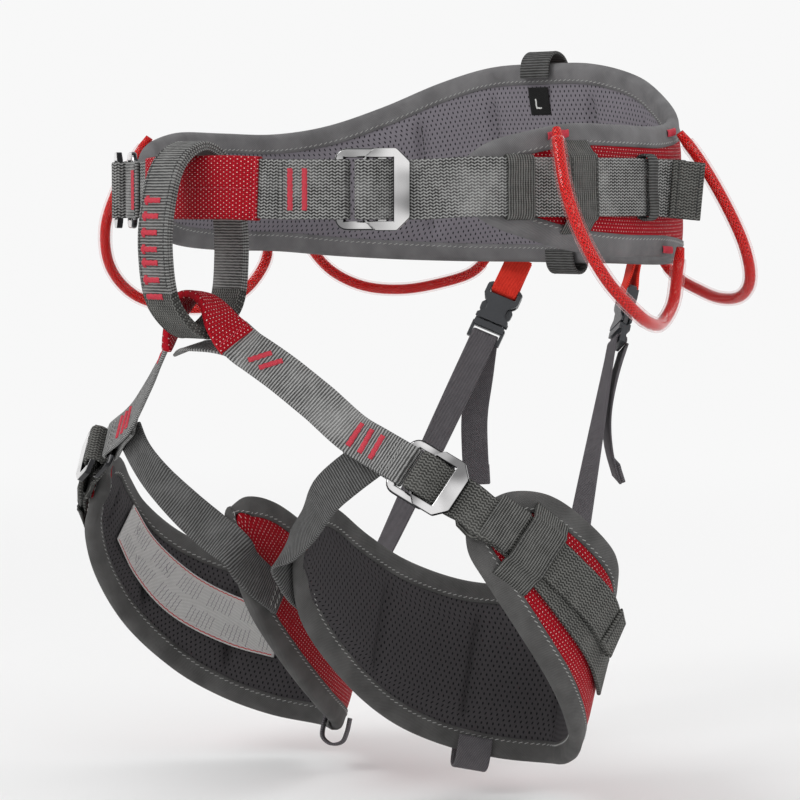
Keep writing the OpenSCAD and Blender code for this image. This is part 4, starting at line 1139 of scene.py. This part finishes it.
    # Riser strap and tail
    u, n = frame_of("clip")[1:]
    foot = pad_station(LEG, 6.9, 1.03, 4.4, -1)
    top = np.concatenate([spot("clip", 38, -2.6), -n])
    path = ([pad_station(LEG, 6.9, f, 4.9, -1) for f in (0.74, 0.86, 0.95)]
            + [foot * (1 - k / 8) + top * k / 8 for k in range(8)] + turn("clip", [
                [38, -2.6, 180], [31, -2.7, 180], [27.4, -2.5, 150], [26, 0, 90],
                [27.4, 2.5, 30], [30, 2.7, 0]], False))
    # The strap wraps round the plug's bar the other way from turn()
    for row, a in zip(path[-4:], (150, 90, 30, 0)):
        row[3:] = n * math.cos(math.radians(a)) - u * math.sin(math.radians(a))
    rs = Strap(look(path), 1.6, width=RISER_W, thick=1.6)
    o = web_mesh(f"riser_strap_webbing_{side}", rs, [MAT["riser_web"]])
    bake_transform(o)
    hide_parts(f"riser_strap_{side}")
    rt = Strap(look(smooth(RISER_TAIL[side], 3)), 1.6, width=RISER_W, thick=1.6)
    hanging = f"riser_tail_{side}"
    placed_web(f"riser_tail_webbing_{side}", rt, "riser_web", hanging, hanging, slot="riser_web")
    end = Strap(fold_over(rt, 1.0, rt.end - 11, rt.end - 0.3, 4), 1.4, width=RISER_W + 0.4, thick=2.4)
    placed_web(f"riser_tail_fold_{side}", end, "riser_web", f"riser_tail_{side}", slot="riser_web")
    seam_across(f"riser_tail_{side}", "pale_thread", end, 2.5, 6.5, 6, fill=0.7, r=0.2)
    tabs = turn("clip", [[-22, -1.6, 180], [-12, -1.8, 180], [-4, -2.8, 180], [0, -2.7, 150], [1.6, 0, 90],
                         [0, 2.7, 30], [-4, 2.8, 0], [-12, 1.8, 0], [-22, 1.6, 0]], False)
    ts = Strap(look(tabs), 1.3, width=RISER_W, thick=1.6)
    stands_for = () if m else ("riser_tabs",)
    placed_web(f"riser_tab_red_{side}", ts, "riser_tab", "waist", *stands_for, slot="riser_tab")

# Care label inside the right leg loop: a pale patch with a thin red border and plain printed bars
care = Strap(mirrored([pad_station(LEG, t, f, -6.4, -1) for t, f in (
    (12.0, 0.56), (11.0, 0.55), (10.0, 0.54), (9.0, 0.53), (8.2, 0.52))]), 1.6, width=27, thick=0.5)
placed_web("care_label_cloth", care, "care_label", "leg_right", slot="label")
total = care.end


def on_care(u, v, h):
    return care.point(u, v, h * 0.2 - 0.06)


for x in (-12.4, 12.4):
    tack("leg_right", on_care, x, total / 2, total - 3, 0.6, 90, what="care_red")
for k, v in enumerate(np.arange(6, total - 5, 2.3)):
    for c, wide in ((-6.2, 8 + (k * 5) % 3), (6.2, 7 + (k * 7) % 4)):
        if (k + (c > 0) * 3) % 9 > 1:
            tack("leg_right", on_care, c + (k % 2) * 0.5, v, wide, 0.4, 0, what="care_print")
for c, v in ((-6, 12), (6, 22), (-6, 41)):
    for k in (-1.6, 0, 1.6):
        tack("leg_right", on_care, c + k, v + abs(k), 3.6 - abs(k), 0.5, 35 + 20 * k, what="care_print")

# ---------------------------------------------------------------- carried-over CAD pieces
for name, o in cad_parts.items():
    steel = "frame" in name or "slider" in name
    plastic = "socket" in name or "plug" in name or "arms" in name
    if steel or plastic:
        o.data.materials.clear()
        o.data.materials.append(MAT["steel" if steel else "plastic"])
        # The imported faces share no points, and an edge is only rounded between faces that do
        o.modifiers.new("join", "WELD").merge_threshold = 1e-6
        bev = o.modifiers.new("edges", "BEVEL")
        bev.width = 0.0012 if "frame" in name else 0.0009 if steel else 0.0005
        bev.segments, bev.limit_method, bev.angle_limit = 4 if steel else 3, "ANGLE", 0.45
        bev.harden_normals = True

detail.make(MAT, SLOTS)

# ---------------------------------------------------------------- floor and backdrop
# A flat disc that curves up into a round wall, in metres
FLAT_R, CURVE_R, FLOOR_DROP, spokes = 3.0, 1.6, 0.012, 64
floor_z = cad_box[0][2] - FLOOR_DROP
prof = [(r, 0.0) for r in (0.0, 0.25, 0.5, 0.8, 1.2, 1.7, 2.3, FLAT_R)]
prof += [(FLAT_R + CURVE_R * math.sin(a), CURVE_R - CURVE_R * math.cos(a))
         for a in np.linspace(0.13, math.pi / 2, 12)]
prof += [(FLAT_R + CURVE_R, 3.0), (FLAT_R + CURVE_R, 5.0)]
verts = [(d * math.cos(k), d * math.sin(k), floor_z + z)
         for d, z in prof for k in np.arange(spokes) * 2 * math.pi / spokes]
faces = [(i * spokes + j, i * spokes + (j + 1) % spokes, (i + 1) * spokes + (j + 1) % spokes, (i + 1) * spokes + j)
         for i in range(len(prof) - 1) for j in range(spokes)]
me = bpy.data.meshes.new("floor")
me.from_pydata(verts, [], faces)
me.polygons.foreach_set("use_smooth", [True] * len(me.polygons))
floor = bpy.data.objects.new("floor", me)
bpy.context.collection.objects.link(floor)
pale = Nodes("pale_floor", 1.0, Specular_IOR_Level=0.0, Emission_Color=(1, 1, 1, 1))
split = pale.tree.nodes.new("ShaderNodeSeparateXYZ")
pale.tree.links.new(pale.place, split.inputs[0])
away = pale.m("SQRT", pale.add(pale.mul(split.outputs[0], split.outputs[0]),
                             pale.mul(split.outputs[1], split.outputs[1])))
pale.put(pale.bsdf.inputs["Emission Strength"], pale.ramp(away, 0.25, 1.9, 0.0, BACKDROP))
floor.data.materials.append(pale.done(pale.mix(pale.ramp(away, 0.25, 1.9), (0.86, 0.86, 0.86), (0.02, 0.02, 0.02))))
